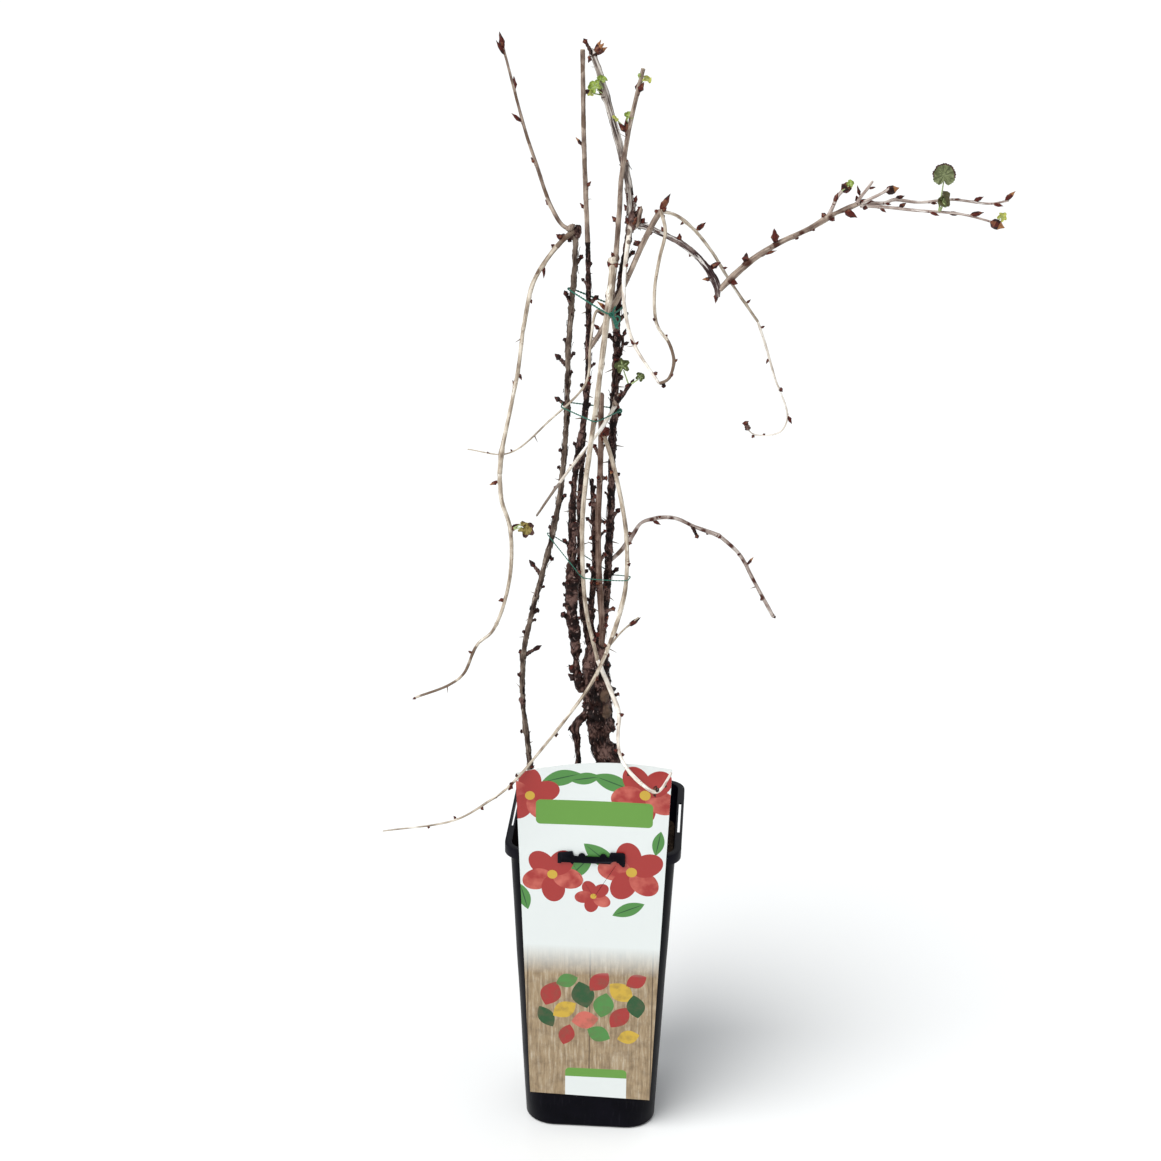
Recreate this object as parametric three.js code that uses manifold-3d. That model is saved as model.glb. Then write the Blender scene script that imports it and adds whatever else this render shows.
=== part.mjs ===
// A gooseberry bush (Ribes uva-crispa) growing in a tall square rose pot.
//
// Millimetres, +Z up, the front of the pot faces -Y. The origin is the centre of the pot's flat
// underside. An old knotty trunk forks low down into a tight bundle of boughs, and long bare shoots
// arch out of the bundle and hang down round it. Three twine ties hold the bundle together.
import * as THREE from "three";
import { mergeVertices } from "three/addons/utils/BufferGeometryUtils.js";
import Module from "manifold-3d";

// ---------------------------------------------------------------- driving dimensions
const GAP = 0.35; // clearance between neighbouring solids
const SOIL_LEVEL = 248; // top of the compost

const POT = {
  rimWidth: 150,
  height: 282,
  collarHeight: 9,
  flangeWidth: 4.5, // from the wall's outer face out to the rim
  skin: 1.5, // thickness of the moulded plastic
  floor: 2,
  footWidth: 115,
  footRounding: 2, // small bevel where the wall meets the floor
  rimCorner: 18,
  footCorner: 26,
  cornerSteps: 5,
  slot: { length: 57, width: 2, depth: 6, inset: 0.3 }, // label slot in the flange, one on each side
  drain: { radius: 5, offset: 34, sides: 10 },
};

const CLIP = {
  length: 57,
  bottom: 274.5,
  top: 280.5,
  proud: 3.2, // how far the bar stands out from the collar
  depth: 1.8, // front to back
  lugLength: 12.5,
  lugBottom: 272,
  lugTop: 285,
  lugSunk: 0.6, // how far the lugs reach into the collar
  bump: { radius: 3, sides: 12, places: [-8, 10] },
};

const LABEL = {
  thickness: 0.6,
  bottomLeft: [-52, 36],
  bottomRight: [54, 33],
  topLeft: [-64, 357],
  topRight: [66, 366],
  topRise: 6, // the top edge arches by this much
  collarLine: 277, // height where the card lies against the collar
  foot: 60.6, // distance in front of the pot's axis, at the bottom edge
  bow: 4, // the free top is dished by this much
  free: 8, // how far above the collar line the dishing starts
  window: { spare: 0.5, depth: 12 }, // cut through the card round the clip
  across: 6,
  up: 8,
};

const TUBE = { step: 16, stout: 2.2, stoutSides: 5, thinSides: 4 }; // a limb's rings, and their sides
const GOLDEN_TURN = 2.399963; // turn from one bud to the next round the shoot, radians
// On old wood a bud leans out of its bough by `lean` radians. Nodes stray by `shift` of their spacing.
const NODE = { start: 0.75, shift: 0.3, lean: 0.95, smallest: 0.6, range: 0.8, bulge: 0.6, sides: 3 };
const PRICKLE = { below: 4, spread: 3, length: 5, more: 3, radius: 1 }; // under a bud on old wood
const SWING = 0.4; // how far a growth may turn to the front or the back

// Growths differ in how far up they are fattest: buds low down, spines at the foot, and stubs, which
// are knobs, burrs and cut twigs, near their blunt end.
const GROWTHS = {
  buds: { bulge: 0.42, sides: 4 },
  ripeBuds: { bulge: 0.42, sides: 4 },
  stubs: { bulge: 0.7, sides: 4 },
  spines: { bulge: 0.2, sides: 3 },
};
const SLIM = 3.2; // a growth narrower than this has three sides

const LEAF = { thickness: 0.7, middle: 0.42, notch: 0.84 }; // middle and notch are shares of its size
const STALK = { foot: 1.6, tip: 1.2, sides: 3 };
const TIE = { radius: 0.8, steps: 26, sides: 4, slack: 0.5, apart: 0.001 };
const KNOT = { half: 2.6, radius: 2, sides: 5, tailRadius: 0.9 };

// ---------------------------------------------------------------- solids
const wasm = await Module();
wasm.setup();

// A closed BufferGeometry as a manifold-3d solid.
function solidOf(geometry) {
  const bare = geometry.clone();
  bare.deleteAttribute("normal");
  bare.deleteAttribute("uv");
  const merged = mergeVertices(bare, 1e-4);
  return new wasm.Manifold(
    new wasm.Mesh({
      numProp: 3,
      vertProperties: new Float32Array(merged.attributes.position.array),
      triVerts: new Uint32Array(merged.index.array),
    }),
  );
}

// A manifold-3d solid as a BufferGeometry.
function geometryOf(solid) {
  const { vertProperties, triVerts } = solid.getMesh();
  const geometry = new THREE.BufferGeometry();
  geometry.setAttribute("position", new THREE.BufferAttribute(vertProperties, 3));
  geometry.setIndex(new THREE.BufferAttribute(triVerts, 1));
  geometry.computeVertexNormals();
  return geometry;
}

// The largest body of a solid: scraps that a cut leaves behind are dropped.
function largest(solid) {
  const bodies = solid.decompose();
  return bodies.reduce((best, body) => (body.volume() > best.volume() ? body : best));
}

// A closed solid from rings of points: neighbouring rings are joined and the ends closed with fans.
function loft(rings) {
  const count = rings[0].length;
  const points = rings.flat();
  const first = points.push(centreOf(rings[0])) - 1;
  const last = points.push(centreOf(rings.at(-1))) - 1;
  const faces = [];
  const top = (rings.length - 1) * count;
  for (let i = 0; i < count; i++) {
    const next = (i + 1) % count;
    faces.push(first, next, i, last, top + i, top + next);
    for (let r = 0; r < top; r += count) {
      faces.push(r + i, r + next, r + count + i, r + next, r + count + next, r + count + i);
    }
  }
  const geometry = new THREE.BufferGeometry().setFromPoints(points);
  geometry.setIndex(faces);
  return solidOf(geometry);
}

function centreOf(ring) {
  const sum = ring.reduce((total, point) => total.add(point), new THREE.Vector3());
  return sum.divideScalar(ring.length);
}

function box(width, depth, height, x, y, z) {
  return solidOf(new THREE.BoxGeometry(width, depth, height).translate(x, y, z));
}

// A spike from an origin along a direction: a bud is fat in the middle, a prickle at its foot.
function spike(origin, direction, length, radius, bulge, sides) {
  const axis = new THREE.Vector3(0, 0, 1);
  const turn = new THREE.Quaternion().setFromUnitVectors(axis, direction.clone().normalize());
  const ring = [];
  for (let i = 0; i < sides; i++) {
    const angle = (i / sides) * 2 * Math.PI;
    ring.push(new THREE.Vector3(radius * Math.cos(angle), radius * Math.sin(angle), bulge * length));
  }
  const tips = [new THREE.Vector3(0, 0, 0), new THREE.Vector3(0, 0, length)];
  const points = [...ring, ...tips].map((p) => p.applyQuaternion(turn).add(origin));
  const faces = [];
  for (let i = 0; i < sides; i++) {
    const next = (i + 1) % sides;
    faces.push(sides, next, i, sides + 1, i, next);
  }
  const geometry = new THREE.BufferGeometry().setFromPoints(points);
  geometry.setIndex(faces);
  return solidOf(geometry);
}

// A small repeatable random stream, so that each shoot grows the same way every time.
function seeded(seed) {
  let state = seed;
  return () => {
    state = (state * 1664525 + 1013904223) % 4294967296;
    return state / 4294967296;
  };
}

// ---------------------------------------------------------------- how a limb grows
// A limb follows a smooth curve through a few points and tapers from `foot` to `tip` diameter.
// `swell` lists [share of the length, diameter] where a knotty limb doesn't taper evenly.
// What grows on it is listed as [distance from its foot, way, reach from its middle, width], and the
// way is in degrees clockwise from straight up, seen from the front.
function limbCurve(limb) {
  const points = limb.path.map(([x, y, z]) => new THREE.Vector3(x, y, z));
  return new THREE.CatmullRomCurve3(points, false, "centripetal");
}

function limbRadius(limb, share) {
  const marks = limb.swell ?? [[0, limb.foot], [1, limb.tip]];
  const after = Math.max(1, marks.findIndex(([mark]) => mark >= share));
  const [from, before] = marks[after - 1];
  const [to, beyond] = marks[after];
  return THREE.MathUtils.mapLinear(share, from, to, before, beyond) / 2;
}

// The limb's own tube, `extra` mm fatter and longer where a neighbour is to be cut clear of it.
function limbTube(limb, extra) {
  const curve = limbCurve(limb);
  const steps = Math.max(2, Math.round(curve.getLength() / (limb.step ?? TUBE.step)));
  const frames = curve.computeFrenetFrames(steps, false);
  const stout = limbRadius(limb, 0) > TUBE.stout;
  const sides = limb.sides ?? (stout ? TUBE.stoutSides : TUBE.thinSides);
  const rings = [];
  for (let k = 0; k <= steps; k++) {
    const share = k / steps;
    const centre = curve.getPointAt(share);
    if (k === 0) centre.addScaledVector(frames.tangents[k], -extra);
    if (k === steps) centre.addScaledVector(frames.tangents[k], extra);
    const radius = limbRadius(limb, share) + extra * 1.25;
    const ring = [];
    for (let i = 0; i < sides; i++) {
      const angle = (i / sides) * 2 * Math.PI;
      const point = centre.clone();
      point.addScaledVector(frames.normals[k], radius * Math.cos(angle));
      point.addScaledVector(frames.binormals[k], radius * Math.sin(angle));
      ring.push(point);
    }
    rings.push(ring);
  }
  return loft(rings);
}

// What stands on old wood by rule: at each node a bud, and under it prickles.
function nodeGrowths(limb, curve, extra) {
  const length = curve.getLength();
  const random = seeded(limb.seed ?? 1);
  const growths = [];
  const spacing = limb.nodes ?? 0;
  const count = spacing ? Math.floor((length - 0.5 * spacing) / spacing) : 0;
  for (let k = 0; k < count; k++) {
    const share = ((k + NODE.start + NODE.shift * random()) * spacing) / length;
    const centre = curve.getPointAt(share);
    const along = curve.getTangentAt(share);
    const out = outward(along, k * GOLDEN_TURN + random());
    const size = NODE.smallest + NODE.range * random();
    const radius = limbRadius(limb, share);
    const [budLength, budWidth] = limb.bud;
    const heading = along.clone().multiplyScalar(Math.cos(NODE.lean));
    heading.addScaledVector(out, Math.sin(NODE.lean));
    const reach = radius + budLength * size + 2 * extra;
    const foot = centre.clone().addScaledVector(heading, -extra);
    const fat = (budWidth * size) / 2 + extra;
    growths.push(spike(foot, heading, reach, fat, NODE.bulge, NODE.sides));
    for (let j = 0; j < (limb.prickles ?? 0); j++) {
      const side = outward(along, k * GOLDEN_TURN + 2 + 2.2 * j + random());
      side.addScaledVector(along, 0.5 - random());
      const root = centre.clone().addScaledVector(along, -PRICKLE.below - PRICKLE.spread * random());
      const full = radius + PRICKLE.length + PRICKLE.more * random() + extra;
      growths.push(spike(root, side, full, PRICKLE.radius + extra, GROWTHS.spines.bulge, 3));
    }
  }
  return growths;
}

function limbGrowths(limb, extra) {
  const curve = limbCurve(limb);
  const growths = nodeGrowths(limb, curve, extra);
  let turn = limb.seed ?? 1;
  for (const [kind, { bulge, sides }] of Object.entries(GROWTHS)) {
    for (const [place, way, reach, width] of limb[kind] ?? []) {
      const heading = clockWay(way, SWING * Math.sin(turn));
      const root = pointAlong(curve, place).addScaledVector(heading, -extra);
      const facets = width < SLIM ? 3 : sides;
      growths.push(spike(root, heading, reach + 2 * extra, width / 2 + extra, bulge, facets));
      turn += GOLDEN_TURN;
    }
  }
  for (const leaf of limb.leaves ?? []) growths.push(...leafOnStalk(curve, leaf, extra));
  return growths;
}

function pointAlong(curve, distance) {
  return curve.getPointAt(Math.min(distance / curve.getLength(), 1));
}

// A unit direction: degrees clockwise from straight up, and a share by which it turns to the back.
function clockWay(degrees, back) {
  const angle = THREE.MathUtils.degToRad(degrees);
  return new THREE.Vector3(Math.sin(angle), back, Math.cos(angle)).normalize();
}

// A unit direction square to a limb, turned round it by an angle from the side that faces -Y.
function outward(along, angle) {
  const front = new THREE.Vector3(0, -1, 0).addScaledVector(along, along.y);
  return front.normalize().applyAxisAngle(along, angle);
}

// A lobed leaf on a stalk. The blade points its own `way` from the stalk's end and faces `face`.
function leafOnStalk(curve, leaf, extra) {
  const start = pointAlong(curve, leaf.at);
  const end = start.clone().add(new THREE.Vector3(...leaf.stalk));
  const stalk = { path: [start, end].map((p) => [p.x, p.y, p.z]), ...STALK };
  const shape = new THREE.Shape(leafOutline(leaf.size / 2 + extra, leaf.lobes));
  const depth = LEAF.thickness + 2 * extra;
  const blade = new THREE.ExtrudeGeometry(shape, { depth, bevelEnabled: false });
  blade.translate(0, leaf.size * LEAF.middle, -depth / 2);
  const face = new THREE.Vector3(...leaf.face).normalize();
  const up = clockWay(leaf.way, 0);
  up.addScaledVector(face, -up.dot(face)).normalize();
  const side = new THREE.Vector3().crossVectors(up, face);
  blade.applyMatrix4(new THREE.Matrix4().makeBasis(side, up, face));
  blade.translate(end.x, end.y, end.z);
  return [limbTube(stalk, extra), solidOf(blade)];
}

// A rounded outline with lobes, notched where the stalk comes in.
function leafOutline(radius, lobes) {
  const outline = [];
  const count = lobes * 2;
  for (let i = 0; i < count; i++) {
    const angle = -Math.PI / 2 + ((i + 0.5) / count) * 2 * Math.PI;
    const reach = radius * (i % 2 ? 1 : LEAF.notch);
    outline.push(new THREE.Vector2(reach * Math.cos(angle), reach * Math.sin(angle)));
  }
  return outline;
}

// A limb with all that grows on it, side twigs included, joined into one solid.
function growLimb(limb, extra) {
  const pieces = [limbTube(limb, extra), ...limbGrowths(limb, extra)];
  for (const twig of limb.twigs ?? []) pieces.push(growLimb(twig, extra));
  return wasm.Manifold.union(pieces);
}

// ---------------------------------------------------------------- the trunk and its boughs
// `nodes` is the distance between the nodes of old wood, and `bud` a bud's length and width there.
const OLD_WOOD = { sides: 6, step: 18, nodes: 17, prickles: 1, bud: [6, 3.2] };

const LIMBS = [
  {
    name: "trunk",
    wood: "oldBark",
    path: [[9, 0, 240], [9, 0, 332], [2, 0, 348], [0, 1, 376], [-2, 3, 403], [-4, 5, 443]],
    swell: [[0, 38], [0.08, 30], [0.44, 22], [0.56, 16], [0.62, 20], [0.69, 24], [0.78, 23], [0.9, 20.5],
      [1, 18]],
    sides: 8,
    step: 10,
    stubs: [[105, 85, 14, 7], [126, 90, 15, 6], [147, 280, 14, 5], [160, 85, 13, 5], [183, 70, 13, 4]],
  },
  {
    name: "side_root",
    wood: "oldBark",
    path: [[-10, 0, 377], [-19, -8, 369], [-18, -9, 354], [-16, -13, 340], [-20, -16, 300], [-22, -18, 240]],
    swell: [[0, 7], [0.1, 8], [0.16, 7.5], [0.22, 4.6], [0.28, 4.6], [0.4, 6.5], [1, 7]],
    stubs: [[18, 285, 6, 6]],
  },
  {
    name: "left_bough",
    wood: "oldBark",
    path: [[-15, 0, 398], [-18, -1, 411], [-20, -1, 427], [-23, -2, 456], [-25, -3, 484], [-24, -4, 526],
      [-24, -3, 571], [-21, -2, 606], [-16, 0, 640], [-13, 1, 690], [-15, 2, 788]],
    swell: [[0, 7], [0.08, 5.5], [0.13, 7], [0.22, 9], [0.27, 9], [0.34, 7], [0.4, 7], [0.46, 5.2],
      [0.7, 5.2], [1, 4.2]],
    ...OLD_WOOD,
    buds: [[11, 300, 11, 5.5], [18, 320, 12, 5.5]],
    ripeBuds: [[6, 315, 5, 3]],
    stubs: [[69, 300, 11, 5.5], [78, 300, 8, 4], [99, 270, 8, 3.5], [106, 80, 9, 3.5]],
    seed: 3,
  },
  {
    name: "back_bough",
    wood: "oldBark",
    path: [[-1, 9, 436], [4, 16, 476], [6, 19, 550], [7, 18, 620], [9, 13, 696], [10, 10, 738],
      [18, 8, 796]],
    foot: 7.4,
    tip: 5.6,
    ...OLD_WOOD,
    seed: 8,
  },
  {
    name: "rear_left_bough",
    wood: "oldBark",
    path: [[-9, 10, 434], [-17, 13, 477], [-19, 14, 526], [-19, 14, 579], [-16, 12, 626]],
    foot: 5.6,
    tip: 4,
    ...OLD_WOOD,
    seed: 5,
  },
  {
    name: "middle_bough",
    wood: "oldBark",
    path: [[-5, 4, 439], [-8, 3, 465], [-6, 3, 501], [-6, 4, 527], [-9, 5, 588]],
    foot: 6,
    tip: 3.4,
    ...OLD_WOOD,
    nodes: 14,
    seed: 11,
  },
  {
    name: "right_bough",
    wood: "greyBark",
    path: [[1, 3, 436], [2, 1, 455], [0, 0, 482], [-3, 1, 540], [-2, 2, 605], [-2, 1, 663]],
    foot: 5.6,
    tip: 4.4,
    nodes: 26,
    bud: [6, 3],
    buds: [[13, 305, 8, 4], [26, 40, 9, 3], [135, 320, 7, 3.5], [187, 40, 7, 3.5]],
    stubs: [[35, 75, 13, 4], [55, 350, 9, 5], [60, 290, 9, 4], [82, 45, 9, 4], [99, 300, 9, 3.5],
      [117, 110, 7, 3.5], [130, 275, 9, 4], [154, 85, 7, 4], [174, 320, 11, 4]],
    spines: [[4, 110, 15, 2]],
    seed: 4,
  },
  {
    name: "left_outer_stem",
    wood: "oldBark",
    path: [[-60, 12, 240], [-60, 12, 318], [-66, 10, 383], [-65, 8, 431], [-58, 8, 468], [-39, 10, 549],
      [-31, 12, 630], [-30, 11, 700], [-25, 6, 771], [-25, 4, 796]],
    foot: 4.8,
    tip: 4.8,
    sides: 5,
    step: 18,
    stubs: [[84, 160, 7, 4.5], [113, 265, 6, 3.5], [169, 255, 5, 4], [183, 340, 9, 4], [187, 60, 18, 4],
      [207, 310, 5, 3], [219, 85, 6, 3], [228, 70, 7, 4.5], [250, 75, 6, 2.5], [262, 315, 17, 4],
      [280, 125, 7, 4], [300, 335, 8, 3.5], [312, 330, 5, 3.5], [330, 45, 9, 3.5], [356, 300, 6, 3.5],
      [372, 300, 6, 3.5], [389, 350, 6, 3], [412, 300, 13, 4], [438, 40, 6, 3.5], [446, 305, 15, 4.5],
      [453, 50, 8, 3.5], [465, 315, 6, 3.5], [488, 25, 7, 3], [500, 330, 13, 4], [533, 45, 9, 4],
      [555, 230, 8, 4]],
    spines: [[101, 50, 7, 1.5], [154, 305, 8, 1.5], [204, 270, 7, 1.5], [223, 225, 7, 1.5],
      [244, 285, 6, 1.5], [347, 290, 7, 1.5]],
    seed: 6,
  },
  // ------------------------------------------------------------ shoots that rise out of the bundle
  {
    name: "shoot_left",
    wood: "tanBark",
    path: [[-25, 4, 796], [-34, 4, 798], [-44, 6, 812], [-58, 10, 849], [-66, 13, 871], [-87, 24, 943]],
    foot: 3.8,
    tip: 2,
    buds: [[29, 315, 7, 2.5], [64, 320, 7, 2.5], [98, 310, 12, 3], [123, 355, 12, 3.5], [151, 330, 15, 3],
      [156, 345, 14, 4]],
    seed: 7,
  },
  {
    name: "shoot_cut",
    wood: "tanBark",
    path: [[-15, 2, 786], [-16, 1, 809], [-17, 0, 825], [-19, -6, 884], [-20, -12, 939]],
    foot: 4.4,
    tip: 3.8,
    buds: [[27, 310, 8, 2.5], [45, 40, 8, 2.5], [120, 65, 6, 3.5]],
    ripeBuds: [[78, 315, 10, 2.5]],
    spines: [[35, 80, 6, 1]],
    seed: 2,
  },
  {
    name: "shoot_top",
    wood: "greyBark",
    path: [[18, 8, 794], [19, 9, 812], [14, 13, 841], [3, 18, 879], [-8, 23, 914], [-16, 26, 935]],
    swell: [[0, 6.4], [0.15, 6.8], [0.3, 6], [0.73, 6], [0.85, 5.4], [1, 4.2]],
    buds: [[16, 315, 9, 3.5], [22, 30, 9, 3.5], [54, 25, 5, 2.5], [108, 330, 15, 5], [110, 305, 8, 3],
      [143, 60, 9, 3.5], [143, 205, 9, 3.5]],
    ripeBuds: [[143, 20, 14, 4.5], [143, 35, 16, 4]],
    spines: [[74, 310, 7, 1], [132, 270, 6, 1]],
    stubs: [[13, 45, 12, 3.5], [106, 335, 7, 2.5], [143, 330, 15, 3.5]],
    leaves: [
      { at: 109, stalk: [-6, -5, 4], way: 320, size: 12, lobes: 5, face: [-0.3, -1, 0.4] },
      { at: 111, stalk: [-7, -5, 11], way: 75, size: 10, lobes: 5, face: [0.1, -0.5, 1] },
      { at: 109, stalk: [-9, -3, 2], way: 285, size: 7, lobes: 4, face: [-0.3, -0.7, 0.6] },
    ],
    seed: 13,
  },
  {
    name: "shoot_right",
    wood: "tanBark",
    path: [[8, 12, 713], [5, 4, 739], [8, 1, 781], [10, -1, 813], [11, -3, 838], [17, -8, 880],
      [27, -15, 926]],
    foot: 5.2,
    tip: 3.6,
    buds: [[60, 30, 6, 3], [63, 330, 7, 3], [92, 310, 8, 3.5], [165, 315, 12, 4], [165, 350, 12, 4],
      [197, 10, 12, 4.5], [198, 30, 11, 4]],
    spines: [[161, 295, 7, 1], [166, 280, 10, 1]],
    leaves: [
      { at: 199, stalk: [3, -2, 10], way: 85, size: 9, lobes: 4, face: [0.2, -0.6, 1] },
      { at: 200, stalk: [1, -2, 9], way: 5, size: 5, lobes: 4, face: [-0.8, -0.6, 0.1] },
      { at: 166, stalk: [-3, -2, 11], way: 45, size: 9, lobes: 5, face: [-0.1, -0.6, 0.9] },
      { at: 166, stalk: [-8, -1, 8], way: 310, size: 7, lobes: 3, face: [0.5, -0.3, 0.8] },
    ],
    seed: 9,
  },
  {
    name: "right_arm",
    wood: "greyBark",
    path: [[18, 8, 796], [25, 8, 800], [45, 8, 793], [64, 9, 783], [80, 10, 767], [89, 10, 752],
      [90, 10, 743]],
    swell: [[0, 5.8], [0.18, 4.8], [0.4, 4.6], [0.63, 5.3], [0.84, 6.2], [0.92, 5.6], [1, 4]],
    buds: [[8, 345, 10, 5], [10, 25, 8, 4], [19, 185, 6, 3], [30, 340, 7, 3.5], [43, 5, 8, 3.5],
      [57, 210, 6, 2.5], [76, 55, 13, 4.5], [83, 160, 10, 3], [97, 190, 10, 3.5]],
    ripeBuds: [[84, 265, 10, 3]],
    seed: 21,
  },
  {
    name: "right_spray",
    wood: "tanBark",
    path: [[91, 10, 749], [103, 13, 761], [120, 18, 775], [138, 22, 786], [162, 28, 797], [179, 33, 807],
      [201, 39, 816]],
    swell: [[0, 5.2], [0.13, 6.2], [0.3, 5.4], [0.46, 4.9], [0.66, 4.5], [0.77, 5.6], [0.84, 3.8],
      [0.94, 4.6], [1, 4]],
    buds: [[11, 110, 8, 4.5], [29, 0, 10, 5], [45, 80, 12, 2.5], [58, 350, 15, 5.5], [74, 120, 5, 3.5],
      [89, 120, 4, 2.5], [103, 320, 6, 4], [107, 140, 6, 4], [119, 115, 13, 5.5], [132, 340, 7, 3.5],
      [132, 55, 7, 3]],
    seed: 17,
    twigs: [
      {
        path: [[175, 33, 804], [179, 34, 813], [182, 34, 821], [186, 33, 827]],
        foot: 3.4,
        tip: 2.8,
        buds: [[14, 15, 9, 3.5]],
        ripeBuds: [[24, 50, 10, 6]],
        leaves: [{ at: 25, stalk: [5, -2, 4], way: 30, size: 7, lobes: 4, face: [0.2, -1, 0.4] }],
        seed: 31,
      },
      {
        path: [[198, 38, 815], [201, 37, 821], [205, 36, 827], [210, 34, 835]],
        foot: 3,
        tip: 2,
        buds: [[7, 340, 10, 2.5], [16, 80, 7, 2]],
        seed: 32,
      },
      {
        path: [[202, 38, 816], [209, 37, 820], [216, 36, 824], [224, 33, 830]],
        foot: 2.8,
        tip: 2.2,
        buds: [[4, 115, 4, 2.5], [25, 85, 3, 2]],
        ripeBuds: [[15, 75, 12, 5]],
        seed: 33,
      },
      {
        path: [[201, 39, 816], [221, 43, 816], [228, 45, 818], [249, 48, 816], [275, 52, 818], [306, 60, 814],
          [322, 64, 816]],
        foot: 3,
        tip: 1.7,
        buds: [[3, 85, 10, 3], [20, 100, 6, 2], [29, 70, 9, 3.5], [58, 105, 6, 2.5], [77, 80, 6, 1.5],
          [94, 65, 10, 3.5], [111, 100, 9, 3]],
        ripeBuds: [[121, 45, 12, 4]],
        seed: 34,
      },
      {
        path: [[201, 39, 814], [221, 40, 813], [245, 40, 811], [281, 40, 809], [308, 40, 803]],
        foot: 3,
        tip: 1.7,
        buds: [[2, 115, 5, 4], [16, 130, 7, 2.5], [31, 55, 8, 3.5], [56, 110, 9, 2.5], [71, 100, 10, 3.5],
          [88, 75, 12, 4]],
        ripeBuds: [[105, 110, 12, 6]],
        leaves: [
          { at: 63, stalk: [2, -5, 22], way: 0, size: 20, lobes: 9, face: [0, -1, 0.2] },
          { at: 63, stalk: [2, -3, 4], way: 5, size: 11, lobes: 3, face: [-0.9, -0.8, 0.1] },
          { at: 64, stalk: [3, -2, 6], way: 20, size: 11, lobes: 3, face: [0.8, -0.8, 0.1] },
          { at: 107, stalk: [5, -2, 2], way: 40, size: 9, lobes: 5, face: [0.3, -0.8, 0.6] },
        ],
        seed: 35,
      },
    ],
  },
  {
    name: "inner_arm",
    wood: "tanBark",
    path: [[-12, 2, 700], [-4, -1, 713], [4, -3, 730], [15, -4, 754], [35, -6, 801], [43, -8, 816]],
    foot: 4.2,
    tip: 5,
    buds: [[18, 305, 9, 3], [32, 295, 12, 2.5], [68, 305, 6, 3], [95, 310, 8, 3.5], [126, 310, 5, 3],
      [127, 30, 17, 5], [128, 60, 6, 3.5]],
    ripeBuds: [[36, 310, 15, 3.5]],
    seed: 14,
  },
  {
    name: "right_arch_upper",
    wood: "paleBark",
    path: [[43, -8, 815], [55, -4, 811], [69, 2, 799], [84, 12, 779], [98, 22, 755], [123, 32, 718]],
    foot: 3.2,
    tip: 2.6,
    buds: [[22, 225, 5, 2], [35, 50, 11, 4], [78, 70, 5, 2], [116, 50, 6, 2]],
    seed: 19,
  },
  {
    name: "right_arch_lower",
    wood: "paleBark",
    path: [[123, 32, 718], [131, 36, 695], [139, 40, 669], [151, 44, 634], [145, 44, 621], [124, 42, 619],
      [115, 42, 627]],
    foot: 2.6,
    tip: 1.1,
    step: 10,
    buds: [[6, 60, 5, 2], [34, 205, 6, 2], [62, 135, 5, 3.5], [88, 150, 8, 3], [119, 60, 3, 2],
      [126, 215, 4, 2.5]],
    stubs: [[133, 340, 8, 5]],
    seed: 23,
  },
  // ------------------------------------------------------------ shoots that hang down
  {
    name: "front_shoot_upper",
    wood: "paleBark",
    path: [[6, 0, 770], [4, -12, 750], [1, -18, 716], [-4, -20, 667], [-14, -24, 574], [-14, -26, 527],
      [-10, -28, 482], [0, -30, 440]],
    swell: [[0, 6.2], [0.16, 5.8], [0.26, 4.8], [0.53, 4.7], [0.66, 4.3], [1, 3.7]],
    buds: [[3, 315, 7, 3.5], [3, 350, 9, 3.5], [3, 50, 6, 3.5], [25, 225, 5, 2.5], [83, 45, 4, 2],
      [126, 165, 6, 2.5], [223, 320, 4, 2], [259, 290, 5, 3.5], [316, 150, 6, 3.5]],
    spines: [[124, 85, 6, 1.5]],
    seed: 12,
  },
  {
    name: "front_shoot_lower",
    wood: "paleBark",
    path: [[0, -30, 440], [14, -37, 410], [19, -43, 399], [20, -64, 382], [24, -80, 373], [35, -88, 361],
      [51, -95, 352], [56, -97, 354], [66, -101, 373]],
    swell: [[0, 4], [0.2, 4.6], [0.27, 4.8], [0.4, 3.2], [0.6, 3], [0.72, 3.8], [0.85, 3.2], [0.9, 2.4],
      [1, 2.2]],
    step: 11,
    buds: [[6, 20, 4, 2.5], [51, 55, 6, 3], [60, 315, 3, 2.5], [85, 280, 5, 3], [89, 85, 4, 3],
      [107, 220, 5, 2.5], [132, 155, 5, 2.5], [144, 100, 3, 2.5]],
    stubs: [[33, 70, 6, 3.5], [137, 320, 6, 3.5]],
    seed: 15,
  },
  {
    name: "low_left_shoot_upper",
    wood: "paleBark",
    path: [[-1, 2, 629], [4, -5, 620], [12, -12, 595], [21, -18, 550], [22, -22, 505], [16, -27, 475],
      [7, -37, 448]],
    swell: [[0, 3.8], [0.09, 4.1], [0.64, 4.1], [0.82, 4.7], [1, 3.7]],
    buds: [[5, 340, 7, 4], [5, 30, 8, 4], [8, 300, 5, 3.5], [112, 145, 4, 3], [187, 325, 6, 2.5],
      [190, 160, 6, 2.5]],
    ripeBuds: [[33, 225, 5, 3.5]],
    seed: 16,
  },
  {
    name: "low_left_shoot_lower",
    wood: "paleBark",
    path: [[7, -37, 448], [-5, -44, 423], [-40, -70, 379], [-69, -92, 349], [-84, -96, 338],
      [-112, -102, 322], [-171, -114, 315]],
    foot: 3.6,
    tip: 1.3,
    buds: [[21, 130, 4, 2.5], [127, 345, 4, 2.5], [134, 205, 6, 4], [136, 40, 5, 3], [152, 75, 3, 1.5],
      [166, 130, 4, 2.5], [189, 320, 4, 2], [212, 195, 3, 2]],
    ripeBuds: [[17, 195, 8, 3], [77, 180, 7, 3]],
    seed: 18,
  },
  {
    name: "thin_front_twig",
    wood: "paleBark",
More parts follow.
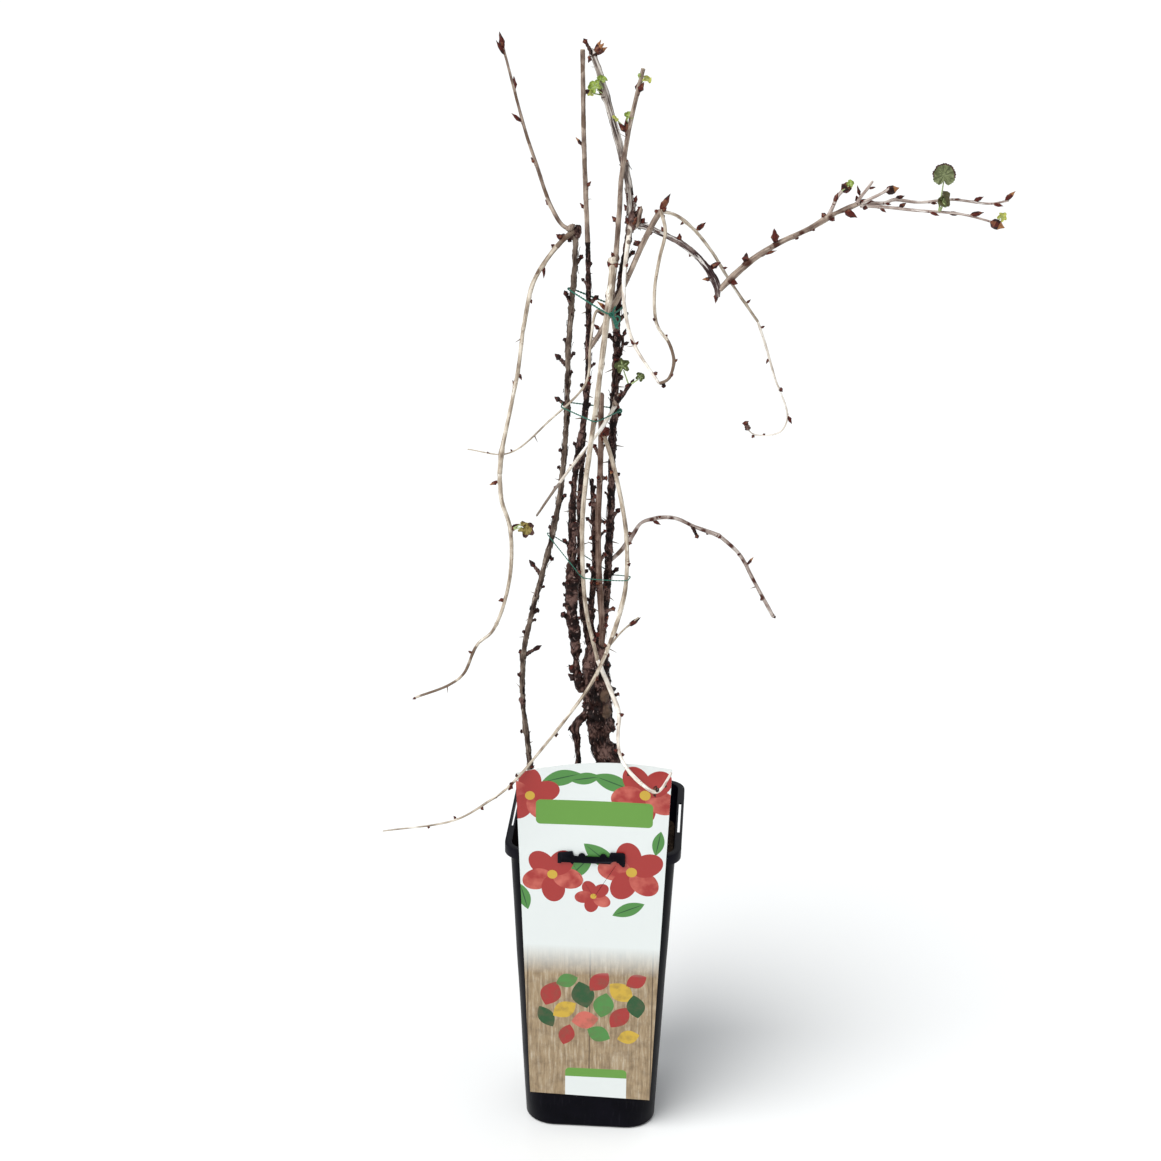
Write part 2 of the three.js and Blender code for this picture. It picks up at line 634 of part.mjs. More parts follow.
    path: [[9, 17, 649], [4, 1, 642], [-2, -9, 634], [-10, -11, 624], [-37, -16, 586], [-53, -21, 562]],
    swell: [[0, 4], [0.28, 3.6], [0.48, 3.2], [0.67, 2.9], [0.8, 2.6], [1, 1.9]],
    sides: 4,
    buds: [[3, 105, 5, 4], [3, 35, 6, 4], [71, 330, 3, 1.5], [94, 5, 3, 2]],
    seed: 20,
  },
  {
    name: "thin_rear_twig",
    wood: "paleBark",
    path: [[3, -3, 729], [-6, -7, 733], [-11, -10, 705], [-14, -8, 674], [-44, 6, 637], [-80, 22, 602],
      [-117, 42, 598]],
    foot: 2.8,
    tip: 1.1,
    sides: 4,
    buds: [[69, 45, 5, 3], [71, 120, 5, 2.5], [170, 310, 3, 1.5], [195, 320, 2, 1.5]],
    spines: [[143, 155, 7, 1.5]],
    seed: 22,
  },
  {
    name: "left_arch_upper",
    wood: "paleBark",
    path: [[-25, 4, 796], [-35, -2, 788], [-46, -8, 775], [-57, -16, 756], [-64, -26, 720]],
    swell: [[0, 6.4], [0.14, 6], [0.22, 4.4], [1, 3.6]],
    buds: [[13, 310, 8, 4], [22, 300, 5, 3], [39, 175, 11, 2.5], [68, 150, 5, 2.5]],
    seed: 24,
  },
  {
    name: "left_arch_middle",
    wood: "paleBark",
    path: [[-64, -26, 720], [-67, -33, 690], [-73, -41, 656], [-79, -47, 624], [-80, -52, 608]],
    swell: [[0, 3.6], [0.6, 3.6], [0.8, 4], [0.86, 5.6], [0.91, 4.4], [1, 4.6]],
    buds: [[34, 150, 7, 2.5], [44, 330, 5, 1.5]],
    spines: [[6, 240, 7, 1.5]],
    seed: 25,
  },
  {
    name: "left_arch_lower",
    wood: "paleBark",
    path: [[-80, -52, 608], [-78, -56, 587], [-71, -58, 564], [-71, -62, 521], [-84, -66, 478],
      [-97, -67, 465], [-108, -70, 440], [-120, -71, 430], [-148, -72, 418]],
    foot: 4.2,
    tip: 2.2,
    buds: [[46, 65, 9, 3.5], [48, 45, 7, 3], [106, 260, 6, 3], [126, 200, 7, 3], [161, 305, 5, 2],
      [226, 235, 4, 2]],
    ripeBuds: [[6, 245, 10, 3]],
    spines: [[198, 175, 6, 1.5]],
    leaves: [
      { at: 47, stalk: [8, -4, 5], way: 125, size: 15, lobes: 5, face: [0.2, -0.9, 0.7] },
      { at: 47, stalk: [8, -3, 6], way: 75, size: 6, lobes: 3, face: [0.1, -0.6, 0.9] },
    ],
    seed: 26,
  },
  {
    name: "loop_right_half",
    wood: "paleBark",
    path: [[43, -9, 815], [47, -14, 800], [43, -20, 779], [40, -26, 754], [43, -32, 729], [53, -35, 715],
      [57, -37, 701], [53, -38, 687], [46, -38, 683]],
    foot: 3.2,
    tip: 2.8,
    step: 11,
    buds: [[3, 145, 4, 3], [87, 315, 4, 2], [102, 35, 3, 2], [123, 50, 4, 2], [135, 45, 4, 2]],
    stubs: [[143, 165, 5, 3.5]],
    seed: 27,
  },
  {
    name: "loop_left_half",
    wood: "paleBark",
    path: [[19, 6, 803], [17, -2, 786], [15, -12, 756], [17, -18, 735], [25, -26, 711], [46, -38, 683]],
    foot: 4.4,
    tip: 2.4,
    buds: [[3, 330, 8, 4.5], [3, 35, 10, 4], [4, 65, 6, 3], [37, 35, 5, 2], [100, 325, 7, 2],
      [100, 40, 5, 2], [128, 45, 5, 3]],
    spines: [[100, 255, 8, 1]],
    seed: 28,
  },
  {
    name: "low_right_arch_upper",
    wood: "tanBark",
    path: [[6, 19, 510], [15, 24, 518], [24, 28, 530], [31, 33, 540], [39, 36, 543], [58, 45, 542],
      [78, 54, 531], [98, 63, 521]],
    swell: [[0, 3.4], [0.2, 4.6], [0.35, 3], [0.46, 3.6], [0.79, 3.4], [0.93, 4.3], [1, 4]],
    buds: [[25, 190, 5, 4], [29, 325, 5, 3.5], [53, 130, 10, 3], [58, 55, 4, 2], [110, 220, 4, 2.5],
      [119, 125, 4, 3.5]],
    stubs: [[93, 155, 12, 3.5]],
    seed: 29,
  },
  {
    name: "low_right_arch_lower",
    wood: "tanBark",
    path: [[98, 63, 521], [116, 69, 502], [130, 74, 475], [148, 79, 441]],
    foot: 3.6,
    tip: 3.4,
    buds: [[27, 325, 4, 3], [75, 215, 4, 2.5], [95, 130, 3, 2.5]],
    ripeBuds: [[39, 35, 11, 2.5]],
    spines: [[62, 240, 7, 1.5]],
    seed: 30,
  },
  // ------------------------------------------------------------ short twigs inside the bundle
  {
    name: "low_spur",
    wood: "paleBark",
    path: [[3, 2, 434], [10, -2, 444], [19, -6, 457], [33, -10, 472]],
    foot: 2.2,
    tip: 1.6,
    buds: [[21, 5, 5, 2], [37, 50, 14, 4]],
    seed: 35,
  },
  {
    name: "leafy_spur",
    wood: "oldBark",
    path: [[11, 9, 653], [14, 8, 657], [18, 8, 664], [22, 7, 670]],
    foot: 3.4,
    tip: 2.6,
    buds: [[2, 315, 6, 4], [3, 15, 7, 3.5], [9, 315, 5, 2.5], [14, 15, 6, 3.5], [19, 35, 6, 2.5]],
    leaves: [
      { at: 17, stalk: [-4, -3, 12], way: 340, size: 14, lobes: 5, face: [-0.2, -1, 0.4] },
      { at: 19, stalk: [6, -2, 4], way: 35, size: 9, lobes: 5, face: [0.4, -0.8, 0.5] },
    ],
    seed: 36,
  },
  {
    name: "thorny_spur",
    wood: "oldBark",
    path: [[9, 11, 654], [10, 11, 671], [11, 10, 687], [14, 9, 700], [14, 8, 710]],
    foot: 3,
    tip: 2.2,
    buds: [[10, 320, 5, 2.5], [21, 40, 5, 2.5], [33, 325, 9, 5], [36, 0, 8, 3], [43, 245, 4, 3],
      [48, 60, 7, 3], [53, 310, 8, 3], [55, 20, 8, 3], [55, 295, 10, 3]],
    seed: 37,
  },
];

// ---------------------------------------------------------------- the ties
// A tie is a loop of twine drawn round the bundle. It is lowest at `bend` across, where it lies at
// `height`, and climbs by `climb` for each millimetre to the left and to the right of that. `reach` is
// how far out a limb is still tied in, though those named in `free` hang outside it. The tails of its
// knot are [across, up, length].
const TIES = [
  {
    name: "tie_top",
    height: 731.5,
    bend: 10,
    climb: [0.38, 0.3],
    reach: 34,
    free: ["loop_left_half"],
    knot: 0.19,
    tails: [[0.3, 1, 9], [0.5, -1, 12]],
  },
  {
    name: "tie_middle",
    height: 643.5,
    bend: 12,
    climb: [0.14, 0.1],
    reach: 36,
    free: [],
    knot: 0.25,
    tails: [],
  },
  {
    name: "tie_low",
    height: 497,
    bend: 9,
    climb: [0.72, 0.9],
    reach: 56,
    free: [],
    knot: 0.5,
    tails: [],
  },
];

// How high a tie lies at a distance across.
function tieHeight(tie, x) {
  return tie.height + (x < tie.bend ? tie.climb[0] * (tie.bend - x) : tie.climb[1] * (x - tie.bend));
}

// Where each limb passes through a tie's plane, with its radius there.
function crossings(tie) {
  const found = [];
  for (const limb of LIMBS) {
    if (tie.free.includes(limb.name)) continue;
    const curve = limbCurve(limb);
    const samples = 160;
    const side = (p) => p.z - tieHeight(tie, p.x);
    for (let i = 0; i < samples; i++) {
      const a = curve.getPointAt(i / samples);
      const b = curve.getPointAt((i + 1) / samples);
      if (side(a) * side(b) > 0) continue;
      const point = a.lerp(b, 0.5);
      const radius = limbRadius(limb, (i + 0.5) / samples);
      if (Math.hypot(point.x, point.y) < tie.reach) found.push({ point, radius });
    }
  }
  return found;
}

// The loop lies on the outermost limbs: for each heading it takes the limb that reaches furthest.
function tieLoop(tie, extra) {
  const limbs = crossings(tie);
  const rings = [];
  for (let k = 0; k < TIE.steps; k++) {
    const heading = (k / TIE.steps) * 2 * Math.PI;
    const out = new THREE.Vector3(Math.cos(heading), Math.sin(heading), 0);
    const reach = (limb) => limb.point.dot(out) + limb.radius;
    const furthest = limbs.reduce((best, limb) => (reach(limb) > reach(best) ? limb : best));
    const distance = furthest.radius * 1.08 + TIE.radius + TIE.slack;
    const centre = furthest.point.clone().addScaledVector(out, distance);
    const ring = [];
    for (let i = 0; i < TIE.sides; i++) {
      const angle = ((i + 0.5) / TIE.sides) * 2 * Math.PI;
      const point = centre.clone().addScaledVector(out, (TIE.radius + extra) * Math.cos(angle));
      point.x += TIE.apart * k;
      point.z = tieHeight(tie, point.x) + (TIE.radius + extra) * Math.sin(angle);
      ring.push(point);
    }
    rings.push(ring);
  }
  return rings;
}

// The rings joined end to end into a closed loop, with a knot and its tails fused on.
function tieSolid(tie, extra) {
  const rings = tieLoop(tie, extra);
  const count = rings.length;
  const points = rings.flat();
  const faces = [];
  for (let k = 0; k < count; k++) {
    const here = k * TIE.sides;
    const there = ((k + 1) % count) * TIE.sides;
    for (let i = 0; i < TIE.sides; i++) {
      const next = (i + 1) % TIE.sides;
      faces.push(here + i, there + i, here + next, here + next, there + i, there + next);
    }
  }
  const geometry = new THREE.BufferGeometry().setFromPoints(points);
  geometry.setIndex(faces);
  const knotAt = centreOf(rings[(Math.round((tie.knot - 0.25) * count) + count) % count]);
  const start = knotAt.clone().add(new THREE.Vector3(0, 0, -KNOT.half));
  const up = new THREE.Vector3(0, 0, 1);
  const pieces = [solidOf(geometry)];
  pieces.push(spike(start, up, 2 * KNOT.half + extra, KNOT.radius + extra, 0.5, KNOT.sides));
  for (const [x, z, length] of tie.tails) {
    const heading = new THREE.Vector3(x, -0.4, z);
    pieces.push(spike(knotAt, heading, length + extra, KNOT.tailRadius + extra, 0.5, 3));
  }
  return wasm.Manifold.union(pieces);
}

// ---------------------------------------------------------------- the pot and what is in it
// A square ring with rounded corners, seen from above and running anticlockwise.
function squareRing(halfWidth, corner, z) {
  const ring = [];
  for (let quarter = 0; quarter < 4; quarter++) {
    const turn = (quarter * Math.PI) / 2;
    for (let i = 0; i <= POT.cornerSteps; i++) {
      const angle = (i / POT.cornerSteps) * (Math.PI / 2);
      const x = halfWidth - corner + corner * Math.cos(angle);
      const y = halfWidth - corner + corner * Math.sin(angle);
      ring.push(
        new THREE.Vector3(
          x * Math.cos(turn) - y * Math.sin(turn),
          x * Math.sin(turn) + y * Math.cos(turn),
          z,
        ),
      );
    }
  }
  return ring;
}

// Outer half width and corner radius of the pot's wall at a height.
const wallTop = POT.rimWidth / 2 - POT.flangeWidth;
function wallHalf(z) {
  return THREE.MathUtils.mapLinear(z, 0, POT.height, POT.footWidth / 2, wallTop);
}
function wallCorner(z) {
  return THREE.MathUtils.mapLinear(z, 0, POT.height, POT.footCorner, POT.rimCorner - POT.flangeWidth);
}

function wallRing(z, inset) {
  return squareRing(wallHalf(z) - inset, wallCorner(z) - inset, z);
}

function makePot() {
  const rim = POT.rimWidth / 2;
  const underFlange = POT.height - POT.skin;
  const lipBottom = POT.height - POT.collarHeight;
  let pot = loft([
    wallRing(0, POT.footRounding),
    wallRing(POT.footRounding, 0),
    wallRing(underFlange, 0),
    squareRing(rim - POT.skin, POT.rimCorner - POT.skin, underFlange),
    squareRing(rim - POT.skin, POT.rimCorner - POT.skin, lipBottom),
    squareRing(rim, POT.rimCorner, lipBottom),
    squareRing(rim, POT.rimCorner, POT.height),
    wallRing(POT.height, POT.skin),
    wallRing(POT.floor, POT.skin),
  ]);
  const slotLine = wallTop + POT.slot.width / 2 + POT.slot.inset;
  const front = -rim - CLIP.proud;
  const lug = (x) => {
    const height = CLIP.lugTop - CLIP.lugBottom;
    const depth = CLIP.proud + CLIP.lugSunk;
    return box(CLIP.lugLength, depth, height, x, front + depth / 2, CLIP.lugBottom + height / 2);
  };
  const lugCentre = (CLIP.length - CLIP.lugLength) / 2;
  const barHeight = CLIP.top - CLIP.bottom;
  const barLine = front + CLIP.depth / 2;
  const bar = box(CLIP.length, CLIP.depth, barHeight, 0, barLine, CLIP.bottom + barHeight / 2);
  const bump = (x) => {
    const { radius, sides } = CLIP.bump;
    const round = new THREE.CylinderGeometry(radius, radius, CLIP.depth, sides);
    return solidOf(round.translate(x, barLine, CLIP.top));
  };
  const drains = [];
  for (let quarter = 0; quarter < 4; quarter++) {
    const angle = ((quarter + 0.5) * Math.PI) / 2;
    const { radius, offset, sides } = POT.drain;
    const hole = new THREE.CylinderGeometry(radius, radius, POT.floor * 3, sides).rotateX(Math.PI / 2);
    drains.push(solidOf(hole.translate(offset * Math.cos(angle), offset * Math.sin(angle), 0)));
  }
  const { length, width, depth } = POT.slot;
  const slots = [
    box(length, width, depth, 0, slotLine, POT.height),
    box(width, length, depth, slotLine, 0, POT.height),
    box(width, length, depth, -slotLine, 0, POT.height),
    box(length, width, depth, 0, -slotLine, POT.height),
  ];
  pot = pot.subtract(wasm.Manifold.union([...drains, ...slots]));
  const bumps = CLIP.bump.places.map(bump);
  return pot.add(wasm.Manifold.union([lug(lugCentre), lug(-lugCentre), bar, ...bumps]));
}

function makeCompost() {
  const bottom = POT.floor + GAP;
  const inset = POT.skin + GAP;
  return loft([wallRing(bottom, inset), wallRing(SOIL_LEVEL, inset)]);
}

// The label is one bent card. It leans on the wall and the collar, and its top stands free.
function labelPoint(across, up, back) {
  const mix = THREE.MathUtils.lerp;
  const topZ = mix(LABEL.topLeft[1], LABEL.topRight[1], across);
  const bottomZ = mix(LABEL.bottomLeft[1], LABEL.bottomRight[1], across);
  const hump = 4 * across * (1 - across);
  const z = mix(bottomZ, topZ + LABEL.topRise * hump, up);
  const left = mix(LABEL.bottomLeft[0], LABEL.topLeft[0], up);
  const right = mix(LABEL.bottomRight[0], LABEL.topRight[0], up);
  const collar = POT.rimWidth / 2 + GAP + LABEL.thickness;
  const above = Math.max(0, z - LABEL.collarLine - LABEL.free);
  const free = above / (LABEL.topRight[1] - LABEL.collarLine);
  const lean = THREE.MathUtils.mapLinear(z, LABEL.bottomLeft[1], LABEL.collarLine, LABEL.foot, collar);
  const y = -Math.max(lean, 0) + LABEL.bow * free * hump + (back ? LABEL.thickness : 0);
  return new THREE.Vector3(mix(left, right, across), y, z);
}

function makeLabel() {
  const rings = [];
  for (let k = 0; k <= LABEL.up; k++) {
    const ring = [];
    for (let i = 0; i <= LABEL.across; i++) ring.push(labelPoint(i / LABEL.across, k / LABEL.up, false));
    for (let i = LABEL.across; i >= 0; i--) ring.push(labelPoint(i / LABEL.across, k / LABEL.up, true));
    rings.push(ring);
  }
  const { spare, depth } = LABEL.window;
  const barHeight = CLIP.top - CLIP.bottom + 2 * spare;
  const lugHeight = CLIP.lugTop - CLIP.lugBottom + 2 * spare;
  const lugCentre = (CLIP.length - CLIP.lugLength) / 2;
  const y = -POT.rimWidth / 2;
  const windows = [box(CLIP.length + 2 * spare, depth, barHeight, 0, y, (CLIP.top + CLIP.bottom) / 2)];
  for (const x of [-lugCentre, lugCentre]) {
    const z = (CLIP.lugTop + CLIP.lugBottom) / 2;
    windows.push(box(CLIP.lugLength + 2 * spare, depth, lugHeight, x, y, z));
  }
  return loft(rings).subtract(wasm.Manifold.union(windows));
}

// Room that stems stay out of: everything below the compost's top, and the pot's wall above it.
function groundRoom() {
  return box(300, 300, 100, 0, 0, SOIL_LEVEL + GAP - 50);
}

function potWallRoom() {
  const inset = POT.skin + GAP;
  const inside = loft([wallRing(SOIL_LEVEL, inset), wallRing(POT.height + 1, inset)]);
  const height = POT.height + GAP - SOIL_LEVEL;
  return box(POT.rimWidth, POT.rimWidth, height, 0, 0, SOIL_LEVEL + height / 2).subtract(inside);
}

// ---------------------------------------------------------------- materials
const MATERIALS = {
  blackPlastic: { color: 0x17161a, roughness: 0.45 },
  compost: { color: 0x2b2119, roughness: 1 },
  card: { color: 0xf3f1ec, roughness: 0.35 },
  oldBark: { color: 0x40302a, roughness: 0.95 },
  greyBark: { color: 0x7c6a5b, roughness: 0.85 },
  tanBark: { color: 0x9a8472, roughness: 0.8 },
  paleBark: { color: 0xc3b294, roughness: 0.75 },
  twine: { color: 0x145a44, roughness: 0.7 },
};

// ---------------------------------------------------------------- assembly
const gooseberryBush = new THREE.Group();

function addPiece(name, solid, look) {
  const mesh = new THREE.Mesh(
    geometryOf(solid),
    new THREE.MeshStandardMaterial({ ...MATERIALS[look], metalness: 0 }),
  );
  mesh.name = name;
  gooseberryBush.add(mesh);
}

addPiece("pot", makePot(), "blackPlastic");
addPiece("compost", makeCompost(), "compost");
addPiece("label", makeLabel(), "card");

// Pieces keep clear of all that came before them: each is cut by the fattened earlier ones.
const earlier = [groundRoom(), potWallRoom()];

function meets(a, b) {
  const [p, q] = [a.boundingBox(), b.boundingBox()];
  return p.min.every((low, i) => low < q.max[i]) && q.min.every((low, i) => low < p.max[i]);
}

for (const tie of TIES) {
  addPiece(tie.name, tieSolid(tie, 0), "twine");
  earlier.push(tieSolid(tie, GAP));
}

for (const limb of LIMBS) {
  let solid = growLimb(limb, 0);
  for (const other of earlier) {
    if (meets(solid, other)) solid = solid.subtract(other);
  }
  addPiece(limb.name, largest(solid), limb.wood);
  earlier.push(growLimb(limb, GAP));
}

export default gooseberryBush;
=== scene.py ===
import math
import random

import bmesh
import bpy
from mathutils import Matrix, Vector, noise


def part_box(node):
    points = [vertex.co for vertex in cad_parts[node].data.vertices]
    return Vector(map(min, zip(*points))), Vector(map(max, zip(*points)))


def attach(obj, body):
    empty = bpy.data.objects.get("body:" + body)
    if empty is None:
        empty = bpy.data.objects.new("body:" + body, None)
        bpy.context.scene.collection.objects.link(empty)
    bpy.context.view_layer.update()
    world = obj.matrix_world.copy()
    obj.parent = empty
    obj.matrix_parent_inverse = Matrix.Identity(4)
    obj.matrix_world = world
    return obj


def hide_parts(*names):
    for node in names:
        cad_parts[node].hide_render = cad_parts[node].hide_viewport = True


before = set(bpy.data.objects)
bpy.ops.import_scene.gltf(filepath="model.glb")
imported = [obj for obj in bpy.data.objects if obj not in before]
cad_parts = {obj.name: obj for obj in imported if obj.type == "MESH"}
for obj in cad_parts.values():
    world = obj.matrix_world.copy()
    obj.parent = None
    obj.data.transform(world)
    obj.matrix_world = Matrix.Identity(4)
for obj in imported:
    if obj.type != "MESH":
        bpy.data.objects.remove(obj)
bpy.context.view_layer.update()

# ---------------------------------------------------------------- camera
# The eye stands well back and above the bush, a little to its right, so that the pot shows its
# front and the inside of its rim, and the shoots stand against the pale ground.
EYE_DISTANCE = 1.808
EYE_HEIGHT = 1.1827
EYE_AZIMUTH = math.radians(3.06)
EYE_YAW = math.radians(3.60)
EYE_PITCH = math.radians(20.7)
EYE_ROLL = math.radians(0.75)
SENSOR = 36.0
LENS_PER_FRAME = 1.9842


def put_in_scene(name, data):
    thing = bpy.data.objects.new(name, data)
    bpy.context.scene.collection.objects.link(thing)
    return thing


eye = bpy.data.cameras.new("eye")
eye.sensor_width = SENSOR
eye.lens = SENSOR * LENS_PER_FRAME
eye_stand = put_in_scene("eye", eye)
eye_turn = Matrix.Rotation(EYE_YAW, 4, "Z") @ Matrix.Rotation(math.pi / 2 - EYE_PITCH, 4, "X")
eye_place = Vector((
    EYE_DISTANCE * math.sin(EYE_AZIMUTH),
    -EYE_DISTANCE * math.cos(EYE_AZIMUTH),
    EYE_HEIGHT,
))
eye_roll = Matrix.Rotation(EYE_ROLL, 4, "Z")
eye_stand.matrix_world = Matrix.Translation(eye_place) @ eye_turn @ eye_roll
bpy.context.scene.camera = eye_stand


# ---------------------------------------------------------------- floor and light
# A plain pale floor that runs out of sight, in a pale studio. Three soft lamps light it: a strong one
# from the front left, a weak one from the right, and one from behind for the edges.
FLOOR_HALF = 60.0
FLOOR_COLOUR = (0.90, 0.905, 0.895, 1)
STUDIO_COLOUR = (0.93, 0.96, 1.0, 1)
STUDIO_STRENGTH = 0.42
LAMPS = [
    # name, the way it shines from, softness in degrees, strength
    ("key", (-1.3, -1.5, 2.2), 48, 2.95),
    ("fill", (1.8, -1.0, 1.2), 60, 0.15),
    ("rim", (0.4, 2.0, 1.6), 50, 0.45),
]


def finish(name, roughness=0.5, specular=0.5):
    """A new finish: the material, its node tree and its shader."""
    material = bpy.data.materials.new(name)
    material.use_nodes = True
    shader = material.node_tree.nodes["Principled BSDF"]
    shader.inputs["Roughness"].default_value = roughness
    shader.inputs["Specular IOR Level"].default_value = specular
    return material, material.node_tree, shader


def mesh_from(bm, name):
    mesh = bpy.data.meshes.new(name)
    bm.to_mesh(mesh)
    bm.free()
    return mesh


floor_bm = bmesh.new()
bmesh.ops.create_grid(floor_bm, x_segments=1, y_segments=1, size=FLOOR_HALF)
floor = put_in_scene("floor", mesh_from(floor_bm, "floor"))
floor_paint, tree, shader = finish("floor_paint", 0.9, 0.1)
shader.inputs["Base Color"].default_value = FLOOR_COLOUR
floor.data.materials.append(floor_paint)

studio = bpy.data.worlds.new("studio")
studio.use_nodes = True
glow = studio.node_tree.nodes["Background"]
glow.inputs["Color"].default_value = STUDIO_COLOUR
glow.inputs["Strength"].default_value = STUDIO_STRENGTH
bpy.context.scene.world = studio
bpy.context.scene.view_settings.view_transform = "Standard"

for name, way, softness, strength in LAMPS:
    lamp = bpy.data.lights.new(name, "SUN")
    lamp.angle = math.radians(softness)
    lamp.energy = strength
    put_in_scene(name, lamp).rotation_euler = Vector(way).to_track_quat("Z", "Y").to_euler()


# ---------------------------------------------------------------- pot
# One injection moulding in black plastic: a tall square shell with rounded corners that tapers to the
# foot, a flange and collar round the rim with a label slot in each side, and drain holes in the floor.
# It is lightly scuffed, and its sharp edges carry a painted blue-grey highlight.
MM = 0.001
RIM_WIDTH = 150 * MM
POT_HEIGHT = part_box("pot")[1].z - 3 * MM
COLLAR = 9 * MM
FLANGE = 4.5 * MM
SKIN = 1.5 * MM
FLOOR_SKIN = 2 * MM
FOOT_WIDTH = 115 * MM
FOOT_ROUNDING = 2 * MM
RIM_CORNER = 18 * MM
FOOT_CORNER = 26 * MM
CORNER_STEPS = 9
SIDE_STEPS = 10
SLOT_LENGTH = 57 * MM
SLOT_WIDTH = 2 * MM
SLOT_DEPTH = 6 * MM
DRAIN_RADIUS = 5 * MM
DRAIN_OFFSET = 34 * MM
WALL_TOP_HALF = RIM_WIDTH / 2 - FLANGE
WALL_WAVE = 0.5 * MM
SCUFF_STRENGTH = 0.18
SCUFF_GREY = (0.035, 0.033, 0.042)
# painted highlight colour for the pot's sharp edges
EDGE_HIGHLIGHT_GREY = (0.030, 0.028, 0.038)
CRISP = math.radians(35)
CUT_CRISP = math.radians(25)
BLACK = (0, 0, 0)
WHITE = (1, 1, 1)


def wire(tree, kind, inputs=None, **settings):
    """Adds one node, sets what is named on it, and joins or sets its inputs."""
    node = tree.nodes.new("ShaderNode" + kind)
    for key, value in settings.items():
        setattr(node, key, value)
    for key, value in (inputs or {}).items():
        socket = node.inputs[key]
        if isinstance(value, bpy.types.NodeSocket):
            tree.links.new(value, socket)
        else:
            socket.default_value = (*value, 1) if socket.type == "RGBA" else value
    return node


def maths(tree, kind, *inputs):
    return wire(tree, "Math", dict(enumerate(inputs)), operation=kind).outputs[0]


def tint(tree, share, under, over):
    """One colour laid over another by a share."""
    return wire(tree, "Mix", {0: share, 6: under, 7: over}, data_type="RGBA").outputs[2]


def cloud(tree, place, scale, detail, roughness=0.5):
    """A cloudy pattern, which the ramps turn into colours."""
    inputs = {"Vector": place, "Scale": scale, "Detail": detail, "Roughness": roughness}
    return wire(tree, "TexNoise", inputs).outputs[0]


def drawn_out(tree, place, scale):
    return wire(tree, "Mapping", {"Vector": place, "Scale": scale}).outputs[0]


def ramp(tree, share, *stops):
    node = wire(tree, "ValToRGB", {0: share})
    elements = node.color_ramp.elements
    while len(elements) < len(stops):
        elements.new(0.5)
    for element, (place, colour) in zip(elements, stops):
        element.position = place
        element.color = (*colour, 1)
    return node.outputs[0]


def on_object(tree):
    return wire(tree, "TexCoord").outputs["Object"]


def paint(tree, shader, colour):
    tree.links.new(colour, shader.inputs["Base Color"])


def rough_up(tree, shader, *layers):
    """Bumps from patterns, each with its strength and depth, one on top of the other."""
    under = {}
    for height, strength, depth in layers:
        bump = wire(tree, "Bump", {"Height": height, "Strength": strength, "Distance": depth} | under)
        under = {"Normal": bump.outputs[0]}
    tree.links.new(bump.outputs[0], shader.inputs["Normal"])


def piece_from(bm, name, *materials, smooth_under=40):
    mesh = mesh_from(bm, name)
    for material in materials:
        mesh.materials.append(material)
    mesh.shade_smooth()
    mesh.set_sharp_from_angle(angle=math.radians(smooth_under))
    return put_in_scene(name, mesh)


def hold(piece, slot, *nodes):
    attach(piece, "root")
    if nodes:
        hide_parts(*nodes)


def cut_away(piece, cutter, cut_faces="INDEX"):
    """Cuts one piece by another; with "TRANSFER" the cut faces keep the cutter's own material."""
    cut = piece.modifiers.new("cut", "BOOLEAN")
    cut.operation = "DIFFERENCE"
    cut.solver = "EXACT"
    cut.use_self = True
    cut.material_mode = cut_faces
    cut.object = cutter
    seen = piece.evaluated_get(bpy.context.evaluated_depsgraph_get())
    shaped = bpy.data.meshes.new_from_object(seen)
    piece.modifiers.remove(cut)
    shaped.set_sharp_from_angle(angle=CUT_CRISP)
    piece.data = shaped
    bpy.data.objects.remove(cutter)


def wall_half(z):
    return FOOT_WIDTH / 2 + (WALL_TOP_HALF - FOOT_WIDTH / 2) * z / POT_HEIGHT


def wall_corner(z):
    return FOOT_CORNER + (RIM_CORNER - FLANGE - FOOT_CORNER) * z / POT_HEIGHT


def square_outline(half, corner, z):
    """Points round a square with rounded corners, with its straight sides cut into short lengths."""
    outline = []
    middle = half - corner
    for quarter in range(4):
        side = []
        for step in range(CORNER_STEPS + 1):
            angle = step / CORNER_STEPS * math.pi / 2
            side.append((middle + corner * math.cos(angle), middle + corner * math.sin(angle)))
        side += [(middle * (1 - 2 * step / SIDE_STEPS), half) for step in range(1, SIDE_STEPS)]
        turn = Matrix.Rotation(quarter * math.pi / 2, 3, "Z")
        outline += [turn @ Vector((x, y, z)) for x, y in side]
    return outline


def first_ring(bm, outline):
    ring = bmesh.ops.create_circle(bm, segments=len(outline), radius=1)["verts"]
    for vert, point in zip(ring, outline):
        vert.co = point
    return ring


def ring_edges(ring):
    pairs = zip(ring, ring[1:] + ring[:1])
    return [next(e for e in a.link_edges if e.other_vert(a) == b) for a, b in pairs]


def next_ring(bm, ring, outline):
    """The ring is extruded, and each new vertex goes to its place on the next outline."""
    grown = bmesh.ops.extrude_edge_only(bm, edges=ring_edges(ring))["geom"]
    fresh = {item for item in grown if isinstance(item, bmesh.types.BMVert)}
    made = []
    for old, point in zip(ring, outline):
        vert = next(e.other_vert(old) for e in old.link_edges if e.other_vert(old) in fresh)
        vert.co = point
        made.append(vert)
    return made


def shell_through(bm, outlines):
    """A shell through the outlines in turn, closed at both ends."""
    ring = first_ring(bm, outlines[0])
    bmesh.ops.contextual_create(bm, geom=ring_edges(ring))
    for outline in outlines[1:]:
        ring = next_ring(bm, ring, outline)
    bmesh.ops.contextual_create(bm, geom=ring_edges(ring))
    bmesh.ops.recalc_face_normals(bm, faces=bm.faces)
    if bm.calc_volume(signed=True) < 0:
        bmesh.ops.reverse_faces(bm, faces=bm.faces)


